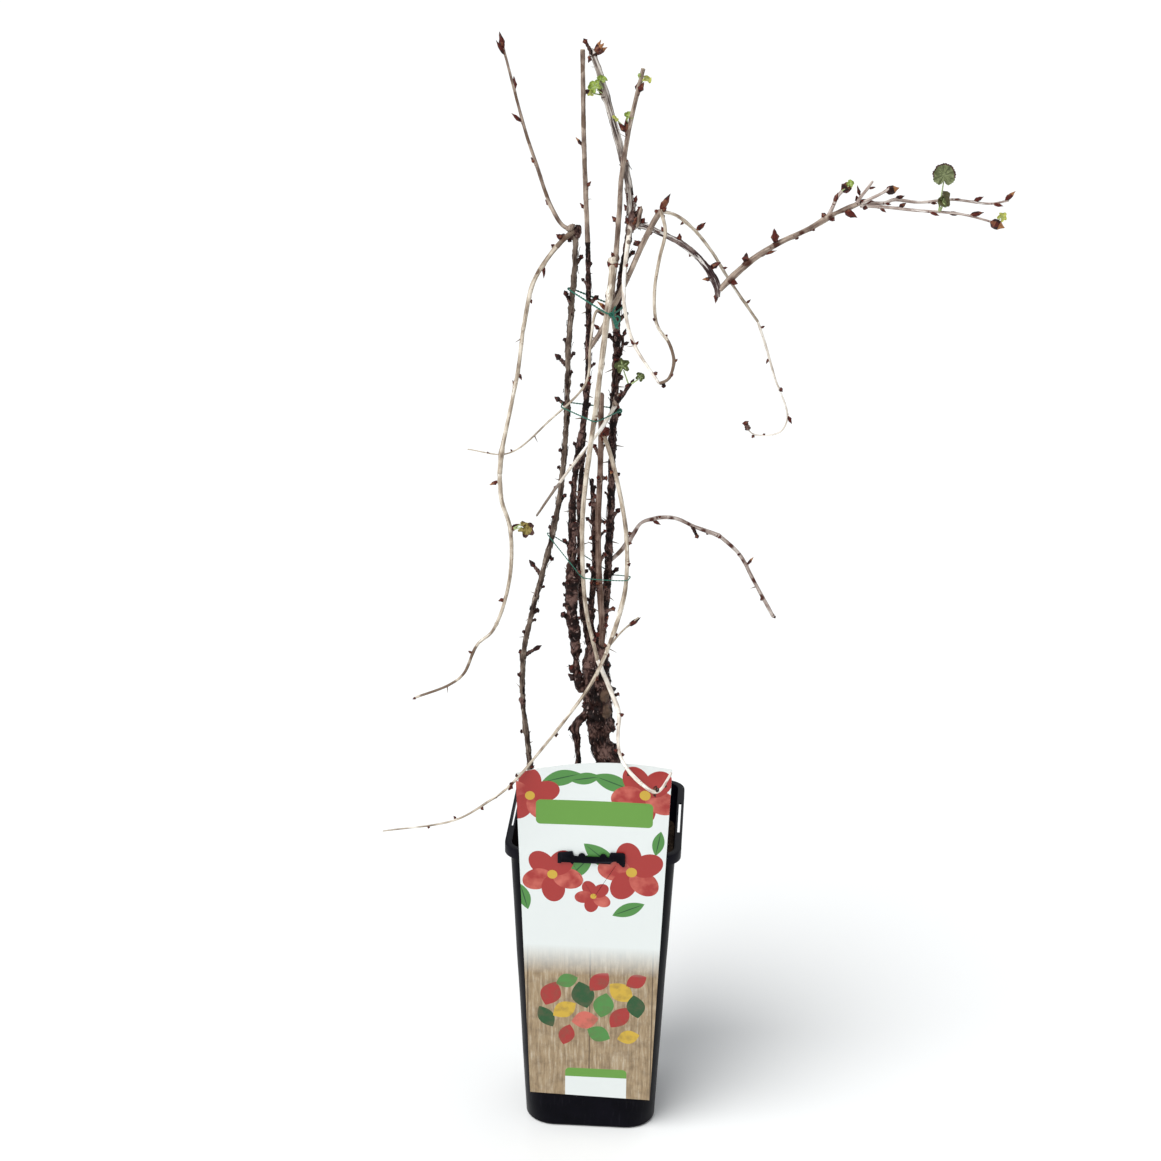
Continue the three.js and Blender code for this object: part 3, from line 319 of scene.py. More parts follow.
def wall_outlines(heights, inset):
    return [square_outline(wall_half(z) - inset, wall_corner(z) - inset, z) for z in heights]


def heights_between(low, high, count):
    return [low + (high - low) * k / count for k in range(count + 1)]


def soften_edges(bm, width):
    """A small bevel on every crisp edge."""
    crisp = [e for e in bm.edges if len(e.link_faces) == 2 and e.calc_face_angle() > CRISP]
    bmesh.ops.bevel(bm, geom=crisp, offset=width, offset_type="OFFSET", segments=2, profile=0.5,
                    affect="EDGES", material=-1, clamp_overlap=True)


def slab(bm, size, centre):
    made = bmesh.ops.create_cube(bm, size=1)["verts"]
    bmesh.ops.scale(bm, verts=made, vec=size)
    bmesh.ops.translate(bm, verts=made, vec=centre)


black_plastic, tree, shader = finish("black_plastic", specular=0.05)
place = on_object(tree)
mottle = cloud(tree, place, 45, 8, 0.7)
streaks = cloud(tree, drawn_out(tree, place, (1, 1, 0.08)), 700, 4)
scuffs = maths(tree, "MULTIPLY", ramp(tree, streaks, (0.60, BLACK), (0.74, WHITE)), SCUFF_STRENGTH)
base = ramp(tree, mottle, (0.35, (0.0010, 0.0010, 0.0024)), (0.75, (0.0034, 0.0030, 0.0066)))
# The sharp edges, found by their pointiness, are painted a paler blue grey: a painted highlight.
edge = wire(tree, "NewGeometry").outputs["Pointiness"]
edge_highlighted = tint(tree, ramp(tree, edge, (0.53, BLACK), (0.62, (0.6, 0.6, 0.6))), base, EDGE_HIGHLIGHT_GREY)
paint(tree, shader, tint(tree, scuffs, edge_highlighted, SCUFF_GREY))
sheen = wire(tree, "MapRange",
             {"Value": mottle, "From Min": 0.3, "From Max": 0.8, "To Min": 0.30, "To Max": 0.46})
tree.links.new(sheen.outputs[0], shader.inputs["Roughness"])
rough_up(tree, shader, (cloud(tree, place, 1400, 2), 0.12, 0.0003))

pot_bm = bmesh.new()
under_flange = POT_HEIGHT - SKIN
outlines = [square_outline(FOOT_WIDTH / 2 - FOOT_ROUNDING, FOOT_CORNER - FOOT_ROUNDING, 0)]
outlines += wall_outlines(heights_between(FOOT_ROUNDING, under_flange, 16), 0)
lip_bottom = POT_HEIGHT - COLLAR
for inset, z in ((SKIN, under_flange), (SKIN, lip_bottom), (0, lip_bottom), (0, POT_HEIGHT)):
    outlines.append(square_outline(RIM_WIDTH / 2 - inset, RIM_CORNER - inset, z))
outlines += wall_outlines(heights_between(POT_HEIGHT, FLOOR_SKIN, 10), SKIN)
shell_through(pot_bm, outlines)
soften_edges(pot_bm, 0.45 * MM)
for vert in pot_bm.verts:
    flat = min(1, max(0, 1 - abs(vert.co.z - POT_HEIGHT / 2) / (POT_HEIGHT / 2)))
    vert.co += Vector((vert.co.x, vert.co.y, 0)).normalized() * WALL_WAVE * flat * noise.noise(vert.co * 14)
pot = piece_from(pot_bm, "pot_shell", black_plastic)

holes_bm = bmesh.new()
slot_line = WALL_TOP_HALF + SLOT_WIDTH / 2 + 0.3 * MM
for side in (-1, 1):
    slab(holes_bm, (SLOT_LENGTH, SLOT_WIDTH, SLOT_DEPTH), (0, side * slot_line, POT_HEIGHT))
    slab(holes_bm, (SLOT_WIDTH, SLOT_LENGTH, SLOT_DEPTH), (side * slot_line, 0, POT_HEIGHT))
for quarter in range(4):
    angle = (quarter + 0.5) * math.pi / 2
    spot = Vector((DRAIN_OFFSET * math.cos(angle), DRAIN_OFFSET * math.sin(angle), 0))
    bmesh.ops.create_cone(holes_bm, cap_ends=True, segments=24, radius1=DRAIN_RADIUS, radius2=DRAIN_RADIUS,
                          depth=FLOOR_SKIN * 3, matrix=Matrix.Translation(spot))
cut_away(pot, piece_from(holes_bm, "pot_holes"))
hold(pot, "black_plastic", "pot")


# ---------------------------------------------------------------- clip
# A bar moulded on the front of the collar, stood off on two lugs, so that a card can be hung on it.
# Its right end is a hook with a round notch, and two round bumps on top keep the card from sliding.
CLIP_HALF = 28.5 * MM
CLIP_LOW = 274.5 * MM
CLIP_HIGH = 280.5 * MM
CLIP_PROUD = 3.2 * MM
BAR_DEPTH = 1.4 * MM
LUG_SUNK = 0.6 * MM
LUG_WIDTH = 12.5 * MM
LUG_LOW = 272 * MM
LUG_HIGH = 285 * MM
BUMP_RADIUS = 3 * MM
BUMPS = (-8 * MM, 10 * MM)
NOTCH_RADIUS = 4 * MM
front = -RIM_WIDTH / 2 - CLIP_PROUD


def arc(x, z, radius, start, end, steps):
    return [
        (x + radius * math.cos(math.radians(start + (end - start) * k / steps)),
         z + radius * math.sin(math.radians(start + (end - start) * k / steps)))
        for k in range(steps + 1)
    ]


def cut_plate(name, outline, depth, sunk=0.0):
    """A flat plate of that outline, standing upright at the clip's front or sunk behind it."""
    bm = bmesh.new()
    verts = [bm.verts.new((x, front + sunk, z)) for x, z in outline]
    face = bm.faces.new(verts)
    body = bmesh.ops.extrude_face_region(bm, geom=[face])["geom"]
    bmesh.ops.translate(bm, verts=[v for v in body if isinstance(v, bmesh.types.BMVert)], vec=(0, depth, 0))
    bmesh.ops.recalc_face_normals(bm, faces=bm.faces)
    soften_edges(bm, 0.25 * MM)
    return piece_from(bm, name, black_plastic)


notch_x = CLIP_HALF - LUG_WIDTH + NOTCH_RADIUS
bar_outline = (
    [(-CLIP_HALF + x * MM, CLIP_LOW - z * MM)
     for x, z in ((0, 1), (3, 1), (3.5, 0), (11, 0), (12.5, 2), (14, 0))]
    + arc(notch_x, LUG_LOW + 1 * MM, NOTCH_RADIUS, 160, 20, 10)
    + arc(CLIP_HALF - 1.6 * MM, LUG_LOW + 1.6 * MM, 1.6 * MM, 200, 350, 6)
    + [(CLIP_HALF, LUG_HIGH - 1.5 * MM), (CLIP_HALF - 1.5 * MM, LUG_HIGH)]
    + [(CLIP_HALF - LUG_WIDTH, LUG_HIGH), (CLIP_HALF - LUG_WIDTH - 1.2 * MM, CLIP_HIGH)]
    + arc(BUMPS[1], CLIP_HIGH, BUMP_RADIUS, 0, 180, 10)
    + arc(BUMPS[0], CLIP_HIGH, BUMP_RADIUS, 0, 180, 10)
    + [(-CLIP_HALF + LUG_WIDTH + 1.4 * MM, CLIP_HIGH), (-CLIP_HALF + LUG_WIDTH, LUG_HIGH)]
    + [(-CLIP_HALF + 1 * MM, LUG_HIGH - 1.6 * MM), (-CLIP_HALF, LUG_HIGH - 3 * MM)]
)
clip = cut_plate("pot_clip", bar_outline, BAR_DEPTH)
hold(clip, "black_plastic")
LUGS = {"pot_lug_left": -CLIP_HALF + LUG_WIDTH / 2, "pot_lug_right": CLIP_HALF - LUG_WIDTH / 2 + 2 * MM}
LUG_HALF = LUG_WIDTH / 2 - 3.4 * MM
LUG_TOP = CLIP_HIGH + 0.5 * MM
for name, centre_x in LUGS.items():
    lug_outline = [(centre_x - LUG_HALF, CLIP_LOW + 1 * MM), (centre_x + LUG_HALF, CLIP_LOW + 1 * MM),
                   (centre_x + LUG_HALF, LUG_TOP), (centre_x - LUG_HALF, LUG_TOP)]
    lug = cut_plate(name, lug_outline, CLIP_PROUD, LUG_SUNK)
    hold(lug, "black_plastic")


# ---------------------------------------------------------------- compost
# The pot is filled to a hand's breadth below the rim with dark peat compost: a crumbly top that
# sinks a little to the middle, with loose crumbs lying on it.
SOIL_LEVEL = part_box("compost")[1].z
SOIL_ROUGH = 1.6 * MM
SOIL_SINKS = 2 * MM
CLEAR = 0.35 * MM
CRUMBS = 420
CRUMB_SIZE = (1.2 * MM, 3.6 * MM)

peat, tree, shader = finish("peat", 1.0, 0.15)
clods = cloud(tree, on_object(tree), 320, 8, 0.75)
paint(tree, shader, ramp(tree, clods, (0.30, (0.006, 0.004, 0.003)), (0.52, (0.030, 0.019, 0.012)),
                         (0.72, (0.085, 0.055, 0.035))))
rough_up(tree, shader, (clods, 0.8, 0.0015))

soil_bm = bmesh.new()
soil_inset = SKIN + CLEAR
soil_low = FLOOR_SKIN + CLEAR
half = wall_half(SOIL_LEVEL) - soil_inset
soil_outlines = wall_outlines(heights_between(soil_low, SOIL_LEVEL, 6), soil_inset)
for share in (0.93, 0.85, 0.77, 0.68, 0.59, 0.5, 0.41, 0.32, 0.23, 0.14, 0.06):
    soil_outlines.append(square_outline(half * share, wall_corner(SOIL_LEVEL) * share ** 0.5, SOIL_LEVEL))
shell_through(soil_bm, soil_outlines)
for vert in soil_bm.verts:
    if vert.co.z > SOIL_LEVEL - 1 * MM:
        middle = 1 - max(abs(vert.co.x), abs(vert.co.y)) / half
        vert.co.z += SOIL_ROUGH * (noise.turbulence(vert.co * 90, 4, False) - 0.8) - SOIL_SINKS * middle
soil = piece_from(soil_bm, "compost_bed", peat, smooth_under=80)
hold(soil, "compost", "compost")

shake = random.Random(5)
crumb_bm = bmesh.new()
for _ in range(CRUMBS):
    size = shake.uniform(*CRUMB_SIZE) * shake.uniform(0.5, 1)
    x, y = (shake.uniform(-half * 0.93, half * 0.93) for _ in "xy")
    crumb = bmesh.ops.create_icosphere(crumb_bm, subdivisions=1, radius=size / 2)["verts"]
    squat = (shake.uniform(0.7, 2.2), 1, shake.uniform(0.45, 0.9))
    bmesh.ops.scale(crumb_bm, verts=crumb, vec=squat)
    turn = Matrix.Rotation(shake.uniform(0, math.pi), 3, "Z")
    bmesh.ops.rotate(crumb_bm, verts=crumb, matrix=turn, cent=(0, 0, 0))
    for vert in crumb:
        vert.co *= 1 + 0.5 * noise.noise(vert.co * 900 + Vector((x, y, 0)) * 5000)
    middle = 1 - max(abs(x), abs(y)) / half
    bmesh.ops.translate(crumb_bm, verts=crumb, vec=(x, y, SOIL_LEVEL - SOIL_SINKS * middle + 0.1 * size))
crumbs = piece_from(crumb_bm, "compost_crumbs", peat, smooth_under=30)
hold(crumbs, "compost")


# ---------------------------------------------------------------- label
# A bent plastic card that hangs on the clip by two cut windows, leans on the pot and is dished at its
# free top. Its face is printed with a plain garden pattern without words: flowers and leaves on white,
# a green band, wood slats with scattered lozenges, and a white field.
CARD = 0.6 * MM
CARD_BOTTOM = (-52 * MM, 54 * MM, 36 * MM, 33 * MM)
CARD_TOP = (-64 * MM, 66 * MM, 357 * MM, 366 * MM)
CARD_RISE = 6 * MM
CARD_COLLAR_LINE = 277 * MM
CARD_FOOT = 60.6 * MM
CARD_BOW = 4 * MM
CARD_ACROSS = 36
CARD_UP = 84


def mix(a, b, share):
    return a + (b - a) * share


def card_point(across, up):
    hump = 4 * across * (1 - across)
    top_z = mix(CARD_TOP[2], CARD_TOP[3], across) + CARD_RISE * hump
    z = mix(mix(CARD_BOTTOM[2], CARD_BOTTOM[3], across), top_z, up)
    x = mix(mix(CARD_BOTTOM[0], CARD_TOP[0], up), mix(CARD_BOTTOM[1], CARD_TOP[1], up), across)
    collar = RIM_WIDTH / 2 + CLEAR + CARD
    free = max(0, z - CARD_COLLAR_LINE - 8 * MM) / (CARD_TOP[3] - CARD_COLLAR_LINE)
    lean = mix(CARD_FOOT, collar, (z - CARD_BOTTOM[3]) / (CARD_COLLAR_LINE - CARD_BOTTOM[3]))
    return Vector((x, CARD_BOW * free * hump - lean, z))


PAPER_WHITE = (0.70, 0.735, 0.72)
PETAL_RED = (0.34, 0.028, 0.024)
PETAL_LIGHT = (0.55, 0.13, 0.095)
LEAF_GREEN = (0.07, 0.23, 0.05)
LEAF_DARK = (0.015, 0.075, 0.02)
BAND_GREEN = (0.12, 0.29, 0.045)
SEED_YELLOW = (0.55, 0.36, 0.04)
SLAT_DARK = (0.20, 0.14, 0.08)
SLAT_TAN = (0.34, 0.245, 0.14)
SLAT_PALE = (0.50, 0.42, 0.31)
SLAT_GAP = (0.12, 0.08, 0.045)
SLAT_WIDTH = 27 * MM
PANEL_CORNER = 4 * MM
FIELD_TOP = 22
FIELD_HALF = 27
LOZENGES = [
    # scattered lozenges: ink, across and up the card in mm, half width, half height, turn in degrees
    (PETAL_RED, -34, 108, 9, 13, 20), (LEAF_GREEN, -20, 122, 7, 10, 70), (LEAF_DARK, -38, 84, 7, 12, -30),
    (SEED_YELLOW, -22, 92, 8, 12, 55), (LEAF_DARK, -6, 108, 10, 14, -15), (PETAL_RED, 8, 122, 8, 12, 40),
    (PETAL_LIGHT, -4, 82, 9, 12, 80), (LEAF_GREEN, 12, 98, 9, 13, 10), (SEED_YELLOW, 27, 112, 9, 13, -50),
    (PETAL_RED, 26, 86, 8, 13, 35), (LEAF_DARK, 40, 98, 8, 12, -10), (PETAL_RED, 40, 124, 7, 10, 60),
    (LEAF_GREEN, 8, 68, 8, 11, -65), (PETAL_RED, -20, 66, 7, 11, 15), (SEED_YELLOW, 34, 66, 7, 10, 75),
]
FLOWERS = [
    # petalled flowers: across and up in mm, petal length, turn in degrees
    (34, 233, 27, 10), (-33, 228, 25, 40), (-52, 303, 24, 0), (2, 208, 15, 25), (44, 307, 27, 30),
]
PETALS = 5
LEAVES = [
    # pointed leaves: across and up in mm, half length, turn in degrees
    (8, 247, 19, -50), (-10, 236, 17, 40), (-57, 205, 13, -15), (32, 196, 15, 65), (-26, 320, 17, 75),
    (17, 317, 18, -70), (-6, 320, 13, 80), (56, 262, 12, 10),
]

printed, tree, shader = finish("printed_card", 0.38, 0.4)
at = wire(tree, "Attribute", attribute_name="print").outputs["Vector"]
card_x, card_y, _ = wire(tree, "SeparateXYZ", {0: at}).outputs


def vector_maths(kind, *inputs, out=0):
    return wire(tree, "VectorMath", dict(enumerate(inputs)), operation=kind).outputs[out]


def stamp(under, ink, x, y, half_x, half_y, turn=0.0, form="leaf"):
    """Prints one shape, sizes in mm: a pointed leaf, an oval petal or a panel with rounded corners."""
    half_x, half_y = half_x * MM, half_y * MM
    away = vector_maths("SUBTRACT", at, (x * MM, y * MM, 0))
    turned = wire(tree, "VectorRotate", {"Vector": away, "Angle": turn}, rotation_type="Z_AXIS").outputs[0]
    edge = 1.0
    if form == "panel":
        core = (max(half_x - PANEL_CORNER, 0), max(half_y - PANEL_CORNER, 0), 1)
        past = vector_maths("SUBTRACT", vector_maths("ABSOLUTE", turned), core)
        reach = vector_maths("LENGTH", vector_maths("MAXIMUM", past, (0, 0, 0)), out="Value")
        edge = PANEL_CORNER
    else:
        scaled = vector_maths("DIVIDE", turned, (half_x, half_y, 1))
        if form == "oval":
            reach = vector_maths("LENGTH", scaled, out="Value")
        else:
            across, up, _ = wire(tree, "SeparateXYZ", {0: scaled}).outputs
            reach = maths(tree, "ADD", maths(tree, "ABSOLUTE", across), maths(tree, "POWER", up, 2.0))
    return tint(tree, maths(tree, "LESS_THAN", reach, edge), under, ink)


wood = cloud(tree, drawn_out(tree, at, (1, 0.09, 1)), 420, 7, 0.7)
slats = ramp(tree, wood, (0.32, SLAT_DARK), (0.5, SLAT_TAN), (0.68, SLAT_PALE))
slat_edge = maths(tree, "LESS_THAN", maths(tree, "PINGPONG", card_x, SLAT_WIDTH), 0.5 * MM)
slats = tint(tree, slat_edge, slats, SLAT_GAP)
for ink, x, y, half_x, half_y, degrees in LOZENGES:
    slats = stamp(slats, ink, x, y, half_x, half_y, math.radians(degrees))
blots = ramp(tree, cloud(tree, at, 95, 5, 0.6), (0.46, BLACK), (0.78, (0.7, 0.7, 0.7)))
slats = tint(tree, blots, slats, SLAT_GAP)
fade = wire(tree, "MapRange", {"Value": card_y, "From Min": 0.128, "From Max": 0.158}).outputs[0]
design = tint(tree, fade, slats, PAPER_WHITE)
for x, y, length, degrees in LEAVES:
    angle = math.radians(degrees)
    design = stamp(design, LEAF_GREEN, x, y, length * 0.42, length, angle)
    design = stamp(design, LEAF_DARK, x, y, 0.5, length * 0.9, angle)
red = ramp(tree, cloud(tree, at, 70, 3), (0.38, PETAL_RED), (0.66, PETAL_LIGHT))
for x, y, length, degrees in FLOWERS:
    for k in range(PETALS):
        angle = math.radians(degrees) + k * 2 * math.pi / PETALS
        out_x, out_y = x - 0.55 * length * math.sin(angle), y + 0.55 * length * math.cos(angle)
        ink = red if k % 2 else PETAL_RED
        design = stamp(design, ink, out_x, out_y, 0.40 * length, 0.52 * length, -angle, "oval")
    design = stamp(design, SEED_YELLOW, x, y, 0.17 * length, 0.17 * length, 0.0, "oval")
design = stamp(design, BAND_GREEN, 2, 288, 49, 11.5, form="panel")
design = stamp(design, BAND_GREEN, 6, FIELD_TOP, FIELD_HALF, 9, form="panel")
beside = maths(tree, "ABSOLUTE", maths(tree, "SUBTRACT", card_x, 6 * MM))
in_field = maths(tree, "MULTIPLY", maths(tree, "LESS_THAN", card_y, FIELD_TOP * MM),
                 maths(tree, "LESS_THAN", beside, FIELD_HALF * MM))
design = tint(tree, in_field, design, PAPER_WHITE)
specks = ramp(tree, cloud(tree, at, 90, 6, 0.8), (0.66, BLACK), (0.74, (0.5, 0.5, 0.5)))
paint(tree, shader, tint(tree, specks, design, (0.33, 0.30, 0.17)))
rough_up(tree, shader, (cloud(tree, at, 28, 3), 0.25, 0.002))

bare_card, tree, shader = finish("bare_card", 0.45)
smudge = cloud(tree, on_object(tree), 55, 6)
paint(tree, shader, ramp(tree, smudge, (0.3, (0.80, 0.82, 0.79)), (0.8, (0.66, 0.66, 0.60))))

card_bm = bmesh.new()
print_place = card_bm.verts.layers.float_vector.new("print")
bmesh.ops.create_grid(card_bm, x_segments=CARD_ACROSS, y_segments=CARD_UP, size=0.5)
for vert in card_bm.verts:
    across, up = vert.co.x + 0.5, vert.co.y + 0.5
    vert.co = card_point(across, up)
    vert[print_place] = (vert.co.x, vert.co.z - CARD_BOTTOM[3], 0)
bmesh.ops.recalc_face_normals(card_bm, faces=card_bm.faces)
if card_bm.faces[:][0].normal.y > 0:
    bmesh.ops.reverse_faces(card_bm, faces=card_bm.faces)
bmesh.ops.solidify(card_bm, geom=card_bm.faces, thickness=CARD)
for face in card_bm.faces:
    face.material_index = 0 if face.normal.y < -0.6 else 1
card = piece_from(card_bm, "label_card", printed, bare_card, smooth_under=30)

SLIT = 0.3 * MM
WINDOW_SPARE = 0.4 * MM
TONGUE_HALF = 17.4 * MM
TONGUE_DEPTH = 31 * MM
TONGUE_TIP = (2.5 * MM, 241 * MM)
CUTTER_DEPTH = 14 * MM
window_bm = bmesh.new()
lug_bottom = CLIP_LOW + 1 * MM
for centre_x in LUGS.values():
    slab(window_bm, (2 * (LUG_HALF + WINDOW_SPARE), CUTTER_DEPTH, LUG_TOP - lug_bottom + 2 * WINDOW_SPARE),
         (centre_x, -RIM_WIDTH / 2, (lug_bottom + LUG_TOP) / 2))
cut_away(card, piece_from(window_bm, "card_window", black_plastic), "TRANSFER")
slit_length = math.hypot(TONGUE_HALF, TONGUE_DEPTH)
for side in (-1, 1):
    slit_bm = bmesh.new()
    slab(slit_bm, (SLIT if side > 0 else SLIT / 2, CUTTER_DEPTH, slit_length), (0, 0, slit_length / 2))
    lean = Matrix.Rotation(side * math.atan2(TONGUE_HALF, TONGUE_DEPTH), 3, "Y")
    bmesh.ops.rotate(slit_bm, verts=slit_bm.verts, matrix=lean, cent=(0, 0, 0))
    foot = (TONGUE_TIP[0] + 0.6 * MM * side, -RIM_WIDTH / 2, TONGUE_TIP[1])
    bmesh.ops.translate(slit_bm, verts=slit_bm.verts, vec=foot)
    # The slit's cut walls take the black plastic finish: a painted shadow line along each slit.
    cut_away(card, piece_from(slit_bm, "card_slit", black_plastic), "TRANSFER")
for vert, cell in zip(card.data.vertices, card.data.attributes["print"].data):
    cell.vector = (vert.co.x, vert.co.z - CARD_BOTTOM[3], 0)
hold(card, "label_card", "label")


# ---------------------------------------------------------------- old wood: trunk, root and boughs
# The old wood is one knotty trunk that forks low down into a tight bundle of near-black boughs. Each
# is a tube drawn along its own smooth route, lumpy, cracked, and swollen under every fruiting spur.
GOLDEN_TURN = 2.399963
NODE_START = 0.75
NODE_SHIFT = 0.3
NODE_LEAN = 0.95
BUD_SMALLEST = 0.6
BUD_RANGE = 0.8
SPINE_BELOW = 4 * MM
SPINE_SPREAD = 3 * MM
SPINE_LENGTH = 5 * MM
SPINE_MORE = 3 * MM
SPINE_WIDTH = 2 * MM
SWING = 0.4
ROUTE_SAMPLES = 24


class Route:
    """A smooth route through a few points in mm, read by share of its length."""

    def __init__(self, points):
        marks = [Vector(p) * MM for p in points]
        marks = [2 * marks[0] - marks[1]] + marks + [2 * marks[-1] - marks[-2]]
        self.points = []
        for a, b, c, d in zip(marks, marks[1:], marks[2:], marks[3:]):
            self.points += [self.between(a, b, c, d, k / ROUTE_SAMPLES) for k in range(ROUTE_SAMPLES)]
        self.points.append(marks[-2])
        self.reach = [0.0]
        for a, b in zip(self.points, self.points[1:]):
            self.reach.append(self.reach[-1] + (b - a).length)
        self.length = self.reach[-1]

    @staticmethod
    def between(a, b, c, d, share):
        """A centripetal Catmull-Rom span from b to c."""
        before, here, after = ((q - p).length ** 0.5 for p, q in ((a, b), (b, c), (c, d)))
        leave = ((b - a) / before - (c - a) / (before + here) + (c - b) / here) * here
        arrive = ((c - b) / here - (d - b) / (here + after) + (d - c) / after) * here
        square, cube = share * share, share ** 3
        return (b * (2 * cube - 3 * square + 1) + leave * (cube - 2 * square + share)
                + c * (3 * square - 2 * cube) + arrive * (cube - square))

    def at(self, share):
        reach = min(max(share, 0), 1) * self.length
        low, high = 0, len(self.reach) - 1
        while high - low > 1:
            half_way = (low + high) // 2
            if self.reach[half_way] > reach:
                high = half_way
            else:
                low = half_way
        part = (reach - self.reach[low]) / (self.reach[high] - self.reach[low])
        return self.points[low].lerp(self.points[high], part)

    def heading(self, share):
        near = 0.6 * MM / self.length
        return (self.at(min(share + near, 1)) - self.at(max(share - near, 0))).normalized()


def outward(along, angle):
    """The direction square to a limb, turned round it from the side that faces the front."""
    toward_front = Vector((0, -1, 0)) + along * along.y
    return Matrix.Rotation(angle, 3, along) @ toward_front.normalized()


def clock_way(degrees, back):
    """A direction by degrees clockwise from straight up, turned by a share to the back."""
    angle = math.radians(degrees)
    return Vector((math.sin(angle), back, math.cos(angle))).normalized()


def luck(seed):
    """A small repeatable stream of numbers from 0 to 1, so each limb grows the same every time."""
    state = seed
    while True:
        state = (state * 1664525 + 1013904223) % 4294967296
        yield state / 4294967296


def thickness(limb, share):
    marks = limb.get("swell") or [(0, limb["foot"]), (1, limb["tip"])]
    for (start, before), (end, beyond) in zip(marks, marks[1:]):
        if share <= end:
            return limb.get("slim", 1) * mix(before, beyond, (share - start) / (end - start)) / 2 * MM
    return limb.get("slim", 1) * marks[-1][1] / 2 * MM


def grow(limb):
    """Sets out a limb's route and each growth on it: kind, share of the length, way, reach and width."""
    limb["route"] = route = Route(limb["path"])
    limb["growths"] = growths = []
    draw = luck(limb.get("seed", 1))
    spacing = limb.get("nodes", 0) * MM
    count = math.floor((route.length - 0.5 * spacing) / spacing) if spacing else 0
    for k in range(count):
        share = (k + NODE_START + NODE_SHIFT * next(draw)) * spacing / route.length
        along = route.heading(share)
        radius = thickness(limb, share)
        out = outward(along, k * GOLDEN_TURN + next(draw))
        size = BUD_SMALLEST + BUD_RANGE * next(draw)
        heading = along * math.cos(NODE_LEAN) + out * math.sin(NODE_LEAN)
        bud_length, bud_width = (measure * size * MM for measure in limb["bud"])
        growths.append(("stubs", share, heading, radius + bud_length, bud_width))
        for j in range(limb.get("prickles", 0)):
            side = outward(along, k * GOLDEN_TURN + 2 + 2.2 * j + next(draw))
            side = (side + along * (0.5 - next(draw))).normalized()
            below = (SPINE_BELOW + SPINE_SPREAD * next(draw)) / route.length
            reach = radius + SPINE_LENGTH + SPINE_MORE * next(draw)
            growths.append(("spines", share - below, side, reach, SPINE_WIDTH))
    turn = limb.get("seed", 1)
    for kind in ("buds", "ripe_buds", "stubs", "spines"):
        for place, degrees, reach, width in limb.get(kind, ()):
            heading = clock_way(degrees, SWING * math.sin(turn))
            share = min(place * MM / route.length, 1)
            growths.append((kind, share, heading, reach * MM, width * MM))
            turn += GOLDEN_TURN


def square_to(along, way):
    """The part of a direction that is square to a limb."""
    flat = way - along * way.dot(along)
    return flat.normalized() if flat.length > 0.05 else outward(along, 0)


CUSHION = 2.2 * MM
SCAR_BELOW = 1.4 * MM
SCAR = 0.8 * MM
TIP_ROUND = 0.25


def ringed_cylinder(bm, sides, rings):
    """An upright closed cylinder, one wide and two high, with its wall cut into level rings."""
    bmesh.ops.create_cone(bm, cap_ends=True, segments=sides, radius1=1, radius2=1, depth=2)
    upright = [e for e in bm.edges if abs(e.verts[0].co.z - e.verts[1].co.z) > 1]
    bmesh.ops.subdivide_edges(bm, edges=upright, cuts=rings - 1)


def bark_tube(limb, name, skin, sides, step, relief, cushion=0.25):
    """A limb's bark: a cylinder cut into rings, each laid square to the route and shaped by relief."""
    route = limb["route"]
    marks = MARKS.get(limb.get("name"), ())
    rings = max(4, round(route.length / step))
    wide = max(thickness(limb, 0.5), 1.5 * MM)
    grain_shift = 0.05 * limb.get("seed", 1)
    bm = bmesh.new()
    grain = bm.verts.layers.float_vector.new("grain")
    scar_mark = bm.verts.layers.float.new("scar")
    bare_mark = bm.verts.layers.float.new("bare")
    ringed_cylinder(bm, sides, rings)
    levels = {}
    for vert in bm.verts:
        levels.setdefault(round((vert.co.z + 1) / 2 * rings), []).append(vert)
    nodes = [(share * route.length, square_to(route.heading(share), heading))
             for kind, share, heading, _, _ in limb["growths"] if kind != "spines"]
    side_way = outward(route.heading(0), 0)
    for level in range(rings + 1):
        share = level / rings
        place = share * route.length
        centre = route.at(share)
        along = route.heading(share)
        side_way = (side_way - along * side_way.dot(along)).normalized()
        across = along.cross(side_way)
        left = route.length - place
        radius = thickness(limb, share)
        if not limb.get("blunt") and left < radius:
            radius *= max(TIP_ROUND, math.sqrt(1 - (1 - left / radius) ** 2))
        near = [(place - at, out) for at, out in nodes if abs(place - at) < 3 * CUSHION]
        close_marks = []
        for at, degrees, spread, amount, kind in marks:
            if abs(place - at * MM) < 3 * spread * MM:
                aim = outward(along, math.radians(degrees))
                close_marks.append((place - at * MM, aim, spread * MM, amount, kind))
        for vert in levels[level]:
            angle = math.atan2(vert.co.y, vert.co.x)
            way = side_way * math.cos(angle) + across * math.sin(angle)
            at_bark = Vector((math.cos(angle) * wide, math.sin(angle) * wide, place + grain_shift))
            swelling = scar = 0
            for gap, out in near:
                facing = max(0, 0.15 + 0.85 * way.dot(out))
                swelling += facing * math.exp(-((gap / CUSHION) ** 2))
                scar += facing * math.exp(-(((gap + SCAR_BELOW) / SCAR) ** 2))
            for gap, aim, spread, amount, kind in close_marks:
                round_bark = radius * way.angle(aim)
                weight = math.exp(-(gap * gap + round_bark * round_bark) / (spread * spread))
                swelling += weight * amount / cushion
                scar += weight if kind == "hole" else 0
                vert[bare_mark] += weight if kind == "bare" else 0
            vert[grain] = at_bark
            vert[scar_mark] = min(1, scar)
            vert.co = centre + way * radius * (1 + relief(at_bark) + cushion * swelling)
    for face in bm.faces:
        face.material_index = 1 if len(face.verts) > 4 else 0
    return piece_from(bm, name, skin, cut_wood, smooth_under=60)


